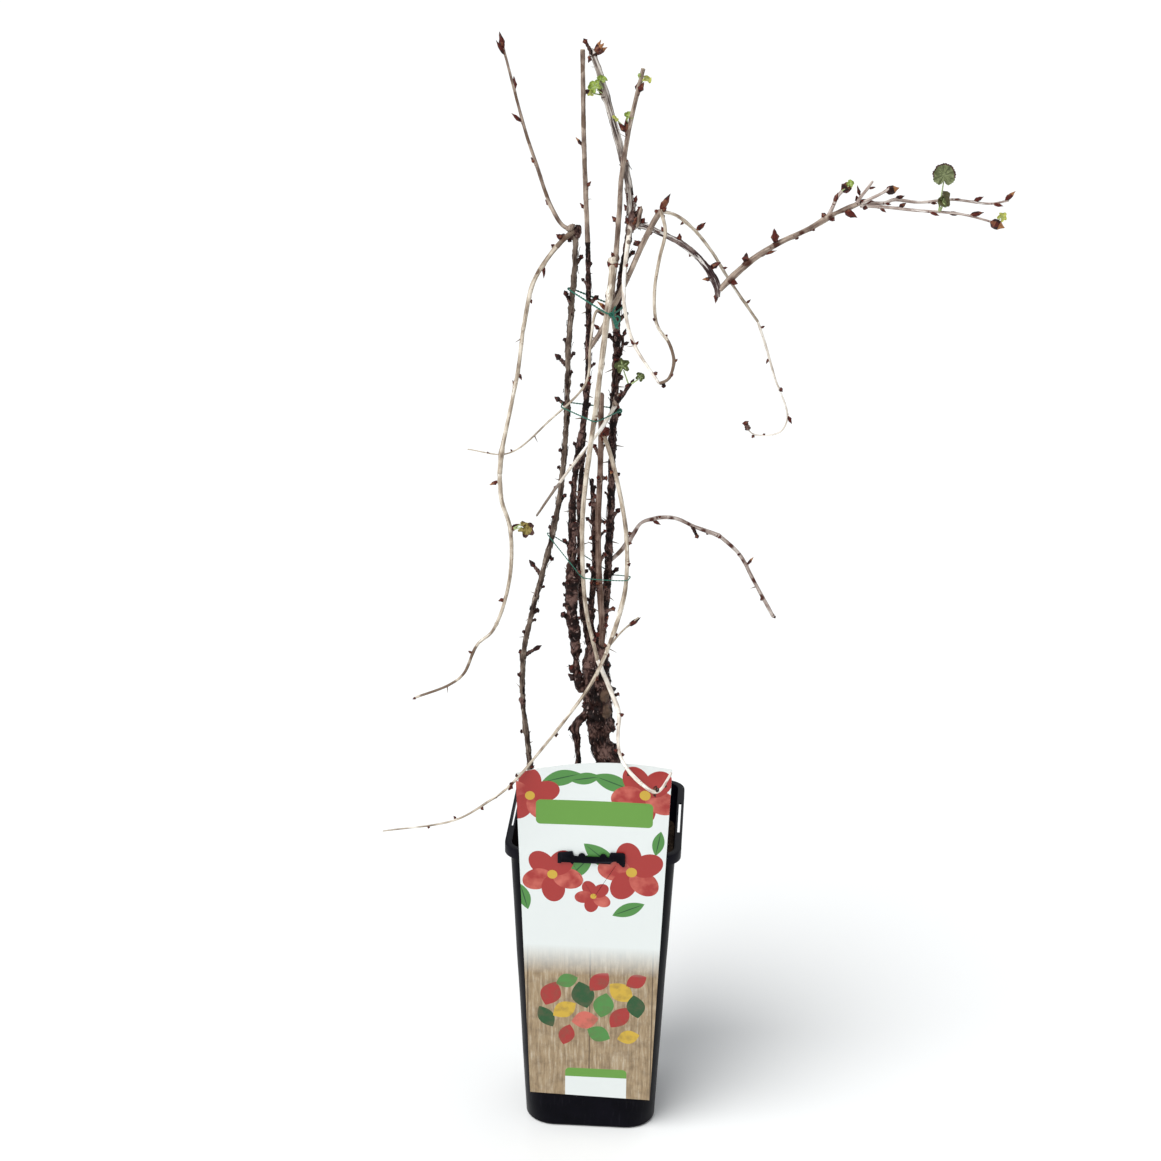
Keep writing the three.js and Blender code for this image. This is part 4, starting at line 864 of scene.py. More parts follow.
def crack(at_bark, across, along, width):
    """A lengthwise crack: deepest where a stretched noise passes zero."""
    line = noise.noise(Vector((at_bark.x * across, at_bark.y * across, at_bark.z * along)))
    return -max(0, width - abs(line))


def old_relief(at_bark):
    lumps = 0.34 * noise.noise(at_bark * 80) + 0.24 * noise.noise(at_bark * 210)
    chips = noise.noise(Vector((at_bark.x * 900, at_bark.y * 900, at_bark.z * 480)))
    return lumps + 0.8 * crack(at_bark, 340, 110, 0.2) + 0.17 * chips


def trunk_relief(at_bark):
    lumps = 0.16 * noise.noise(at_bark * 75) + 0.17 * noise.noise(at_bark * 210)
    chips = noise.noise(Vector((at_bark.x * 620, at_bark.y * 620, at_bark.z * 420)))
    return lumps + 0.5 * crack(at_bark, 240, 120, 0.16) + 0.11 * chips


def bark(name, shades, patch, patch_from, patch_scale, scar_colour, depth, roughness,
         weave=(850, 0.07, 0.22, 0.09)):
    """A bark finish: fibres along the limb, weathered patches, specks, and a scar under each bud."""
    material, tree, shader = finish(name, roughness, 0.14)
    at_bark = wire(tree, "Attribute", attribute_name="grain").outputs["Vector"]
    fineness, stretch, patch_stretch, steep = weave
    fibres = cloud(tree, drawn_out(tree, at_bark, (1, 1, stretch)), fineness, 6, 0.68)
    tone = maths(tree, "ADD", fibres, cloud(tree, at_bark, 70, 4))
    skin = ramp(tree, maths(tree, "MULTIPLY", tone, 0.5),
                (0.5 - steep, shades[0]), (0.5, shades[1]), (0.5 + steep, shades[2]))
    patches = cloud(tree, drawn_out(tree, at_bark, (1, 1, patch_stretch)), patch_scale, 5, 0.6)
    peeled = ramp(tree, patches, (patch_from, BLACK), (patch_from + 0.05, WHITE))
    skin = tint(tree, peeled, skin, patch)
    speckled = ramp(tree, cloud(tree, at_bark, 620, 3), (0.66, BLACK), (0.72, WHITE))
    skin = tint(tree, speckled, skin, scar_colour)
    scar = wire(tree, "Attribute", attribute_name="scar").outputs["Fac"]
    broken = maths(tree, "MULTIPLY", scar, fibres)
    skin = tint(tree, ramp(tree, broken, (0.2, BLACK), (0.42, WHITE)), skin, scar_colour)
    bare = wire(tree, "Attribute", attribute_name="bare").outputs["Fac"]
    ragged = maths(tree, "MULTIPLY_ADD", patches, 0.8, bare)
    ragged = ramp(tree, ragged, (0.76, BLACK), (0.9, (0.85, 0.85, 0.85)))
    paint(tree, shader, tint(tree, ragged, skin, shades[3]))
    rough_up(tree, shader, (fibres, 0.6, depth), (patches, 0.5, depth))
    return material


BARE_TAN = (0.125, 0.078, 0.052)
old_shades = ((0.005, 0.0015, 0.0011), (0.028, 0.0105, 0.0080), (0.150, 0.086, 0.072), BARE_TAN)
old_bark = bark("old_bark", old_shades, (0.30, 0.215, 0.195), 0.62, 460, (0.018, 0.004, 0.003), 0.0012, 0.55,
                (480, 0.5, 0.6, 0.06))
stem_bark = bark("stem_bark", ((0.028, 0.017, 0.013), (0.115, 0.082, 0.063), (0.24, 0.19, 0.15), BARE_TAN),
                 (0.34, 0.28, 0.23), 0.60, 380, (0.02, 0.008, 0.006), 0.0006, 0.7)
cut_wood, tree, shader = finish("cut_wood", 0.9)
rays = cloud(tree, on_object(tree), 1500, 4)
paint(tree, shader, ramp(tree, rays, (0.3, (0.30, 0.23, 0.16)), (0.7, (0.52, 0.44, 0.33))))

OLD_LIMBS = [
    dict(
        name="trunk",
        path=[(9, 0, 240), (9, 0, 332), (2, 0, 348), (0, 1, 376), (-2, 3, 403), (-4, 5, 443)],
        swell=[(0, 38), (0.08, 30), (0.44, 22), (0.56, 16), (0.62, 20), (0.69, 24), (0.78, 23), (0.9, 20.5),
               (1, 18)],
        stubs=[(105, 85, 14, 7), (126, 90, 15, 6), (147, 280, 14, 5), (160, 85, 13, 5), (183, 70, 13, 4)],
    ),
    dict(
        name="side_root", blunt=True,
        path=[(-10, 0, 377), (-19, -8, 369), (-18, -9, 354), (-16, -13, 340), (-20, -16, 300),
              (-22, -18, 240)],
        swell=[(0, 7), (0.1, 8), (0.16, 7.5), (0.22, 4.6), (0.28, 4.6), (0.4, 6.5), (1, 7)],
        stubs=[(18, 285, 6, 6)],
    ),
    dict(
        name="left_bough", seed=3, nodes=17, prickles=1, bud=(6, 3.2),
        path=[(-15, 0, 398), (-18, -1, 411), (-20, -1, 427), (-23, -2, 456), (-25, -3, 484), (-24, -4, 526),
              (-24, -3, 571), (-21, -2, 606), (-16, 0, 640), (-13, 1, 690), (-15, 2, 788)],
        swell=[(0, 7), (0.08, 5.5), (0.13, 7), (0.22, 9), (0.27, 9), (0.34, 7), (0.4, 7), (0.46, 5.2),
               (0.7, 5.2), (1, 4.2)],
        buds=[(11, 300, 11, 5.5), (18, 320, 12, 5.5)],
        ripe_buds=[(6, 315, 5, 3)],
        stubs=[(69, 300, 11, 5.5), (78, 300, 8, 4), (99, 270, 8, 3.5), (106, 80, 9, 3.5)],
    ),
    dict(
        name="back_bough", seed=8, foot=7.4, tip=5.6, nodes=17, prickles=1, bud=(6, 3.2),
        path=[(-1, 9, 436), (4, 16, 476), (6, 19, 550), (7, 18, 620), (9, 13, 696), (10, 10, 738),
              (18, 8, 796)],
    ),
    dict(
        name="rear_left_bough", seed=5, foot=5.6, tip=4, nodes=17, prickles=1, bud=(6, 3.2),
        path=[(-9, 10, 434), (-17, 13, 477), (-19, 14, 526), (-19, 14, 579), (-16, 12, 626)],
    ),
    dict(
        name="middle_bough", seed=11, foot=6, tip=3.4, nodes=14, prickles=1, bud=(6, 3.2),
        path=[(-5, 4, 439), (-8, 3, 465), (-6, 3, 501), (-6, 4, 527), (-9, 5, 588)],
    ),
    dict(
        name="left_outer_stem", seed=6, foot=4.8, tip=4.8,
        path=[(-60, 12, 240), (-60, 12, 318), (-66, 10, 383), (-65, 8, 431), (-58, 8, 468), (-39, 10, 549),
              (-31, 12, 630), (-30, 11, 700), (-25, 6, 771), (-25, 4, 796)],
        stubs=[(84, 160, 7, 4.5), (113, 265, 6, 3.5), (169, 255, 5, 4), (183, 340, 9, 4), (187, 60, 18, 4),
               (207, 310, 5, 3), (219, 85, 6, 3), (228, 70, 7, 4.5), (250, 75, 6, 2.5), (262, 315, 17, 4),
               (280, 125, 7, 4), (300, 335, 8, 3.5), (312, 330, 5, 3.5), (330, 45, 9, 3.5),
               (356, 300, 6, 3.5), (372, 300, 6, 3.5), (389, 350, 6, 3), (412, 300, 13, 4),
               (438, 40, 6, 3.5), (446, 305, 15, 4.5), (453, 50, 8, 3.5), (465, 315, 6, 3.5),
               (488, 25, 7, 3), (500, 330, 13, 4), (533, 45, 9, 4), (555, 230, 8, 4)],
        spines=[(101, 50, 7, 1.5), (154, 305, 8, 1.5), (204, 270, 7, 1.5), (223, 225, 7, 1.5),
                (244, 285, 6, 1.5), (347, 290, 7, 1.5)],
    ),
    dict(
        name="leafy_spur", seed=36, foot=3.4, tip=2.6,
        path=[(11, 9, 653), (14, 8, 657), (18, 8, 664), (22, 7, 670)],
        buds=[(2, 315, 6, 4), (3, 15, 7, 3.5), (9, 315, 5, 2.5), (14, 15, 6, 3.5), (19, 35, 6, 2.5)],
        leaves=[(17, (-4, -3, 12), 340, 14, 5, (-0.2, -1, 0.4), "olive"),
                (19, (6, -2, 4), 35, 9, 5, (0.4, -0.8, 0.5), "olive")],
    ),
    dict(
        name="thorny_spur", seed=37, foot=3, tip=2.2,
        path=[(9, 11, 654), (10, 11, 671), (11, 10, 687), (14, 9, 700), (14, 8, 710)],
        buds=[(10, 320, 5, 2.5), (21, 40, 5, 2.5), (33, 325, 9, 5), (36, 0, 8, 3), (43, 245, 4, 3),
              (48, 60, 7, 3), (53, 310, 8, 3), (55, 20, 8, 3), (55, 295, 10, 3)],
    ),
]
MARKS = {
    # by limb: place along it in mm, turn to the right of its front in degrees, spread in mm, how far it
    # stands out as a share of the radius, and what it is
    "trunk": [
        (148, -32, 3.4, -0.5, "hole"), (172, 14, 3, -0.45, "hole"), (158, 42, 6, 0.05, "bare"),
        (143, 48, 6, 0.04, "bare"), (130, 88, 4.5, 0.28, "knob"), (107, 92, 5, 0.12, "knob"),
        (131, -5, 3.5, 0.2, "knob"), (131, 30, 3.5, 0.2, "knob"), (127, 10, 2, -0.2, "hole"),
        (118, -55, 5, 0.25, "knob"), (186, -60, 5, 0.25, "knob"), (102, -15, 6, 0.2, "knob"),
        (167, -85, 7, 0.22, "knob"), (154, 150, 7, 0.25, "knob"), (122, 200, 6, 0.25, "knob"),
        (177, 230, 6, 0.25, "knob"), (195, 60, 5, 0.2, "knob"), (199, 10, 4, -0.25, "hole"),
    ],
    "left_bough": [
        (101, 90, 8, 0.5, "knob"), (85, 80, 8, 0.5, "knob"), (66, 250, 5, 0.3, "knob"),
        (57, 90, 8, 0.75, "knob"), (42, 90, 8, 0.6, "knob"), (8, 30, 6, 0.5, "knob"),
    ],
    "left_arch_upper": [
        (4, -20, 8, 0.05, "bare"), (12, 120, 6, 0, "bare"), (13, 20, 3, 0.1, "hole"),
        (19, -20, 2.5, 0.2, "bare"), (46, 60, 3, 0, "bare"),
    ],
    "left_arch_lower": [
        (160, 60, 6, 0, "bare"), (176, -40, 7, 0, "bare"), (196, 20, 8, 0, "bare"), (214, 0, 9, 0, "bare"),
    ],
    "loop_left_half": [(2, 0, 3, 0.2, "hole"), (9, 40, 3, 0.1, "bare"), (17, -20, 2, 0.1, "bare")],
    "loop_right_half": [
        (112, 60, 7, 0, "bare"), (124, 40, 6, 0, "bare"), (134, 100, 7, 0, "bare"), (147, 20, 5, 0, "bare"),
    ],
    "thin_front_twig": [(96, 0, 9, 0, "bare"), (109, 180, 9, 0, "bare"), (114, 0, 9, 0, "bare")],
    "low_left_shoot_upper": [(196, 30, 4, 0.1, "bare"), (180, -40, 4, 0, "bare")],
    "low_right_arch_upper": [
        (12, 0, 4, 0, "bare"), (34, 60, 4, 0.1, "hole"), (52, 0, 3, 0.1, "hole"), (70, 40, 4, 0, "hole"),
        (88, -20, 3, 0, "hole"), (104, 30, 4, 0, "hole"),
    ],
    "low_right_arch_lower": [
        (14, 0, 4, 0, "hole"), (33, 50, 3, 0, "hole"), (55, -30, 4, 0, "hole"), (73, 20, 4, 0, "hole"),
    ],
    "right_spray": [
        (12, 40, 4, 0.1, "hole"), (31, -20, 4, 0, "hole"), (58, 30, 4, 0, "hole"), (80, 0, 3, 0, "hole"),
        (106, 40, 4, 0, "hole"),
    ],
    "shoot_left": [(40, 60, 4, 0, "bare"), (84, -40, 4, 0, "bare"), (118, 20, 4, 0, "bare")],
    "shoot_cut": [(64, 70, 5, 0, "bare"), (98, 60, 6, 0, "bare"), (140, -60, 4, 0, "bare")],
}
for limb in OLD_LIMBS:
    grow(limb)
    if limb["name"] == "trunk":
        skin = bark_tube(limb, "trunk_bark", old_bark, 64, 0.9 * MM, trunk_relief)
    else:
        bark_of = stem_bark if limb["name"] == "left_outer_stem" else old_bark
        skin = bark_tube(limb, limb["name"] + "_bark", bark_of, 20, 0.9 * MM, old_relief)
    hold(skin, "grey_shoot" if limb["name"].endswith("_spur") else "old_bark", limb["name"])


# ---------------------------------------------------------------- grey wood
# Two-year wood is grey brown and warm where it is rubbed. The arm that reaches right is dark with
# long white streaks, where its skin has split.
def shoot_relief(at_bark):
    """Fine ribs along a young shoot, and a slow unevenness in its thickness."""
    rib = noise.noise(Vector((at_bark.x * 800, at_bark.y * 800, at_bark.z * 60)))
    return 0.07 * rib + 0.10 * noise.noise(at_bark * 90) + 0.05 * noise.noise(at_bark * 300)


def arm_relief(at_bark):
    return 2 * shoot_relief(at_bark) + 0.5 * crack(at_bark, 420, 30, 0.2)


brown_bark = bark("brown_bark", ((0.07, 0.036, 0.027), (0.17, 0.108, 0.082), (0.29, 0.205, 0.165), BARE_TAN),
                  (0.38, 0.30, 0.25), 0.64, 260, (0.045, 0.018, 0.012), 0.00035, 0.85)
arm_bark = bark("arm_bark", ((0.026, 0.012, 0.013), (0.088, 0.056, 0.054), (0.25, 0.19, 0.17), BARE_TAN),
                (0.72, 0.68, 0.64), 0.51, 420, (0.022, 0.008, 0.008), 0.0005, 0.8, (850, 0.07, 0.09, 0.08))
grey_bark = bark("grey_bark", ((0.060, 0.044, 0.038), (0.17, 0.135, 0.118), (0.34, 0.29, 0.25), BARE_TAN),
                 (0.66, 0.61, 0.56), 0.54, 380, (0.035, 0.014, 0.010), 0.0005, 0.8, (560, 0.05, 0.05, 0.055))

GREY_LIMBS = [
    dict(
        name="right_bough", seed=4, foot=5.6, tip=4.4, nodes=26, bud=(6, 3),
        path=[(1, 3, 436), (2, 1, 455), (0, 0, 482), (-3, 1, 540), (-2, 2, 605), (-2, 1, 663)],
        buds=[(13, 305, 8, 4), (26, 40, 9, 3), (135, 320, 7, 3.5), (187, 40, 7, 3.5)],
        stubs=[(35, 75, 13, 4), (55, 350, 9, 5), (60, 290, 9, 4), (82, 45, 9, 4), (99, 300, 9, 3.5),
               (117, 110, 7, 3.5), (130, 275, 9, 4), (154, 85, 7, 4), (174, 320, 11, 4)],
        spines=[(4, 110, 15, 2)],
    ),
    dict(
        name="shoot_top", seed=13,
        path=[(18, 8, 794), (19, 9, 812), (14, 13, 841), (3, 18, 879), (-8, 23, 914), (-16, 26, 935)],
        swell=[(0, 6.4), (0.15, 6.8), (0.3, 6), (0.73, 6), (0.85, 5.4), (1, 4.2)],
        buds=[(16, 315, 9, 3.5), (22, 30, 9, 3.5), (54, 25, 5, 2.5), (108, 330, 15, 5), (110, 305, 8, 3),
              (143, 60, 9, 3.5), (143, 205, 9, 3.5)],
        ripe_buds=[(143, 45, 14, 4.5), (142, 62, 13, 4.5), (143, 30, 13, 3.5)],
        stubs=[(13, 45, 12, 3.5), (106, 335, 7, 2.5), (143, 330, 15, 3.5)],
        spines=[(74, 310, 7, 1), (132, 270, 6, 1)],
        leaves=[(109, (-6, -5, 4), 320, 12, 5, (-0.3, -1, 0.4), "fresh"),
                (111, (-7, -5, 11), 75, 10, 5, (0.1, -0.5, 1), "fresh"),
                (109, (-9, -3, 2), 285, 7, 4, (-0.3, -0.7, 0.6), "yellow")],
    ),
    dict(
        name="right_arm", seed=21, blunt=True,
        path=[(18, 8, 796), (25, 8, 800), (45, 8, 793), (64, 9, 783), (80, 10, 767), (89, 10, 752),
              (90, 10, 743)],
        swell=[(0, 5.8), (0.18, 4.8), (0.4, 4.6), (0.63, 5.3), (0.84, 6.2), (0.92, 5.6), (1, 4)],
        buds=[(8, 345, 10, 5), (10, 25, 8, 4), (19, 185, 6, 3), (30, 340, 7, 3.5), (43, 5, 8, 3.5),
              (57, 210, 6, 2.5), (76, 55, 13, 4.5), (83, 160, 10, 3), (97, 190, 10, 3.5)],
        ripe_buds=[(84, 265, 10, 3)],
    ),
]
GREY_FINISH = {
    "right_bough": (brown_bark, "grey_bark", shoot_relief),
    "right_arm": (arm_bark, "grey_bark", arm_relief),
    "shoot_top": (grey_bark, "grey_shoot", arm_relief),
}
for limb in GREY_LIMBS:
    grow(limb)
    finish_of, slot, relief = GREY_FINISH[limb["name"]]
    skin = bark_tube(limb, limb["name"] + "_bark", finish_of, 18, 1.0 * MM, relief)
    hold(skin, slot, limb["name"])


# ---------------------------------------------------------------- tan shoots
# Shoots between old and young are a dull tan with paler streaks: three stand up out of the bundle,
# one carries the spray at the right, and one arches low down at the right.
tan_bark = bark("tan_bark", ((0.105, 0.068, 0.052), (0.26, 0.195, 0.155), (0.44, 0.355, 0.285), BARE_TAN),
                (0.50, 0.43, 0.36), 0.62, 240, (0.060, 0.022, 0.014), 0.0003, 0.75)
twig_bark = bark("twig_bark", ((0.20, 0.13, 0.11), (0.42, 0.34, 0.30), (0.64, 0.57, 0.52), BARE_TAN),
                 (0.72, 0.67, 0.63), 0.6, 300, (0.08, 0.03, 0.022), 0.0002, 0.75)

SPRAY_TWIGS = [
    dict(
        seed=31, foot=3.4, tip=2.8,
        path=[(175, 33, 804), (179, 34, 813), (182, 34, 821), (186, 33, 827)],
        buds=[(14, 15, 9, 3.5)],
        ripe_buds=[(24, 50, 13, 8)],
        leaves=[(25, (5, -2, 4), 30, 7, 4, (0.2, -1, 0.4), "fresh")],
    ),
    dict(
        seed=32, foot=3, tip=2,
        path=[(198, 38, 815), (201, 37, 821), (205, 36, 827), (210, 34, 835)],
        buds=[(7, 340, 10, 2.5), (16, 80, 7, 2)],
    ),
    dict(
        seed=33, foot=2.8, tip=2.2,
        path=[(202, 38, 816), (209, 37, 820), (216, 36, 824), (224, 33, 830)],
        buds=[(4, 115, 4, 2.5), (25, 85, 3, 2)],
        ripe_buds=[(21, 75, 12, 7)],
    ),
    dict(
        seed=34, foot=3, tip=1.7,
        path=[(201, 39, 816), (221, 43, 816), (228, 45, 818), (249, 48, 816), (275, 52, 818),
              (306, 60, 814), (322, 64, 816)],
        buds=[(3, 85, 10, 3), (20, 100, 6, 2), (29, 70, 9, 3.5), (58, 105, 6, 2.5), (77, 80, 6, 1.5),
              (94, 65, 10, 3.5), (111, 100, 9, 3)],
        ripe_buds=[(121, 45, 12, 4)],
    ),
    dict(
        seed=35, foot=3, tip=1.7,
        path=[(201, 39, 814), (221, 40, 813), (245, 40, 811), (281, 40, 809), (308, 40, 803)],
        buds=[(2, 115, 5, 4), (16, 130, 7, 2.5), (31, 55, 8, 3.5), (56, 110, 9, 2.5), (71, 100, 10, 3.5),
              (88, 75, 12, 4)],
        ripe_buds=[(105, 110, 13, 8)],
        leaves=[(63, (2, -5, 22), 0, 20, 9, (0, -1, 0.2), "edged"),
                (63, (2, -3, 4), 5, 11, 3, (-0.9, -0.8, 0.1), "olive"),
                (64, (2, -2, 4), 15, 15, 3, (0.8, -0.8, 0.1), "flap"),
                (107, (5, -2, 2), 40, 9, 5, (0.3, -0.8, 0.6), "yellow")],
    ),
]
TAN_LIMBS = [
    dict(
        name="shoot_left", seed=7, foot=3.8, tip=2,
        path=[(-25, 4, 796), (-34, 4, 798), (-44, 6, 812), (-58, 10, 849), (-66, 13, 871), (-87, 24, 943)],
        buds=[(29, 315, 7, 2.5), (64, 320, 7, 2.5), (98, 310, 12, 3), (123, 355, 12, 3.5),
              (151, 330, 15, 3), (156, 345, 14, 4)],
    ),
    dict(
        name="shoot_cut", seed=2, foot=4.4, tip=3.8, blunt=True,
        path=[(-15, 2, 786), (-16, 1, 809), (-17, 0, 825), (-19, -6, 884), (-20, -12, 939)],
        buds=[(27, 310, 8, 2.5), (45, 40, 8, 2.5), (120, 65, 6, 3.5)],
        ripe_buds=[(78, 315, 10, 2.5)],
        spines=[(35, 80, 6, 1)],
    ),
    dict(
        name="shoot_right", seed=9, foot=5.2, tip=3.6, blunt=True,
        path=[(8, 12, 713), (5, 4, 739), (8, 1, 781), (10, -1, 813), (11, -3, 838), (17, -8, 880),
              (27, -15, 926)],
        buds=[(60, 30, 6, 3), (63, 330, 7, 3), (92, 310, 8, 3.5), (165, 315, 12, 4), (165, 350, 12, 4),
              (197, 10, 12, 4.5), (198, 30, 11, 4)],
        spines=[(161, 295, 7, 1), (166, 280, 10, 1)],
        leaves=[(199, (3, -2, 10), 85, 9, 4, (0.2, -0.6, 1), "yellow"),
                (200, (1, -2, 9), 5, 5, 4, (-0.8, -0.6, 0.1), "fresh"),
                (166, (-3, -2, 11), 45, 9, 5, (-0.1, -0.6, 0.9), "fresh"),
                (166, (-8, -1, 8), 310, 7, 3, (0.5, -0.3, 0.8), "yellow")],
    ),
    dict(
        name="right_spray", seed=17, twigs=SPRAY_TWIGS,
        path=[(91, 10, 749), (103, 13, 761), (120, 18, 775), (138, 22, 786), (162, 28, 797), (179, 33, 807),
              (201, 39, 816)],
        swell=[(0, 5.2), (0.13, 6.2), (0.3, 5.4), (0.46, 4.9), (0.66, 4.5), (0.77, 5.6), (0.84, 3.8),
               (0.94, 4.6), (1, 4)],
        buds=[(11, 110, 8, 4.5), (29, 0, 10, 5), (45, 80, 12, 2.5), (58, 350, 15, 5.5), (74, 120, 5, 3.5),
              (89, 120, 4, 2.5), (103, 320, 6, 4), (107, 140, 6, 4), (119, 115, 13, 5.5),
              (132, 340, 7, 3.5), (132, 55, 7, 3)],
    ),
    dict(
        name="inner_arm", seed=14, foot=4.2, tip=5,
        path=[(-12, 2, 700), (-4, -1, 713), (4, -3, 730), (15, -4, 754), (35, -6, 801), (43, -8, 816)],
        buds=[(18, 305, 9, 3), (32, 295, 12, 2.5), (68, 305, 6, 3), (95, 310, 8, 3.5), (126, 310, 5, 3),
              (127, 30, 17, 5), (128, 60, 6, 3.5)],
        ripe_buds=[(36, 310, 15, 3.5)],
    ),
    dict(
        name="low_right_arch_upper", seed=29, blunt=True,
        path=[(6, 19, 510), (15, 24, 518), (24, 28, 530), (31, 33, 540), (39, 36, 543), (58, 45, 542),
              (78, 54, 531), (98, 63, 521)],
        swell=[(0, 3.4), (0.2, 4.6), (0.35, 3), (0.46, 3.6), (0.79, 3.4), (0.93, 4.3), (1, 4)],
        buds=[(25, 190, 5, 4), (29, 325, 5, 3.5), (53, 130, 10, 3), (58, 55, 4, 2), (110, 220, 4, 2.5),
              (119, 125, 4, 3.5)],
        stubs=[(93, 155, 12, 3.5)],
    ),
    dict(
        name="low_right_arch_lower", seed=30, foot=3.6, tip=3.4,
        path=[(98, 63, 521), (116, 69, 502), (130, 74, 475), (148, 79, 441)],
        buds=[(27, 325, 4, 3), (75, 215, 4, 2.5), (95, 130, 3, 2.5)],
        ripe_buds=[(39, 35, 11, 2.5)],
        spines=[(62, 240, 7, 1.5)],
    ),
]
for limb in TAN_LIMBS:
    limb["slim"] = 0.92
    grow(limb)
    bark_of = twig_bark if limb["name"].startswith("low_right") else tan_bark
    skin = bark_tube(limb, limb["name"] + "_bark", bark_of, 16, 1.0 * MM, shoot_relief)
    hold(skin, "tan_shoot", limb["name"])
for k, twig in enumerate(SPRAY_TWIGS):
    grow(twig)
    skin = bark_tube(twig, f"spray_twig_{k + 1}_bark", twig_bark, 12, 0.9 * MM, shoot_relief)
    hold(skin, "tan_shoot")


# ---------------------------------------------------------------- pale shoots
# Last year's shoots are straw pale and smooth, with fine grey streaks, and the youngest of them are
# nearly white. Most arch over and hang down round the bundle.
pale_bark = bark("pale_bark", ((0.19, 0.14, 0.105), (0.445, 0.37, 0.285), (0.68, 0.61, 0.51), BARE_TAN),
                 (0.80, 0.75, 0.66), 0.60, 240, (0.14, 0.065, 0.04), 0.00018, 0.72)
white_bark = bark("white_bark", ((0.42, 0.35, 0.30), (0.72, 0.65, 0.56), (0.88, 0.84, 0.77), BARE_TAN),
                  (0.92, 0.90, 0.86), 0.55, 240, (0.20, 0.11, 0.08), 0.00018, 0.72)
WHITE_LIMBS = ("loop_left_half", "thin_front_twig", "front_shoot_lower", "right_arch_lower")

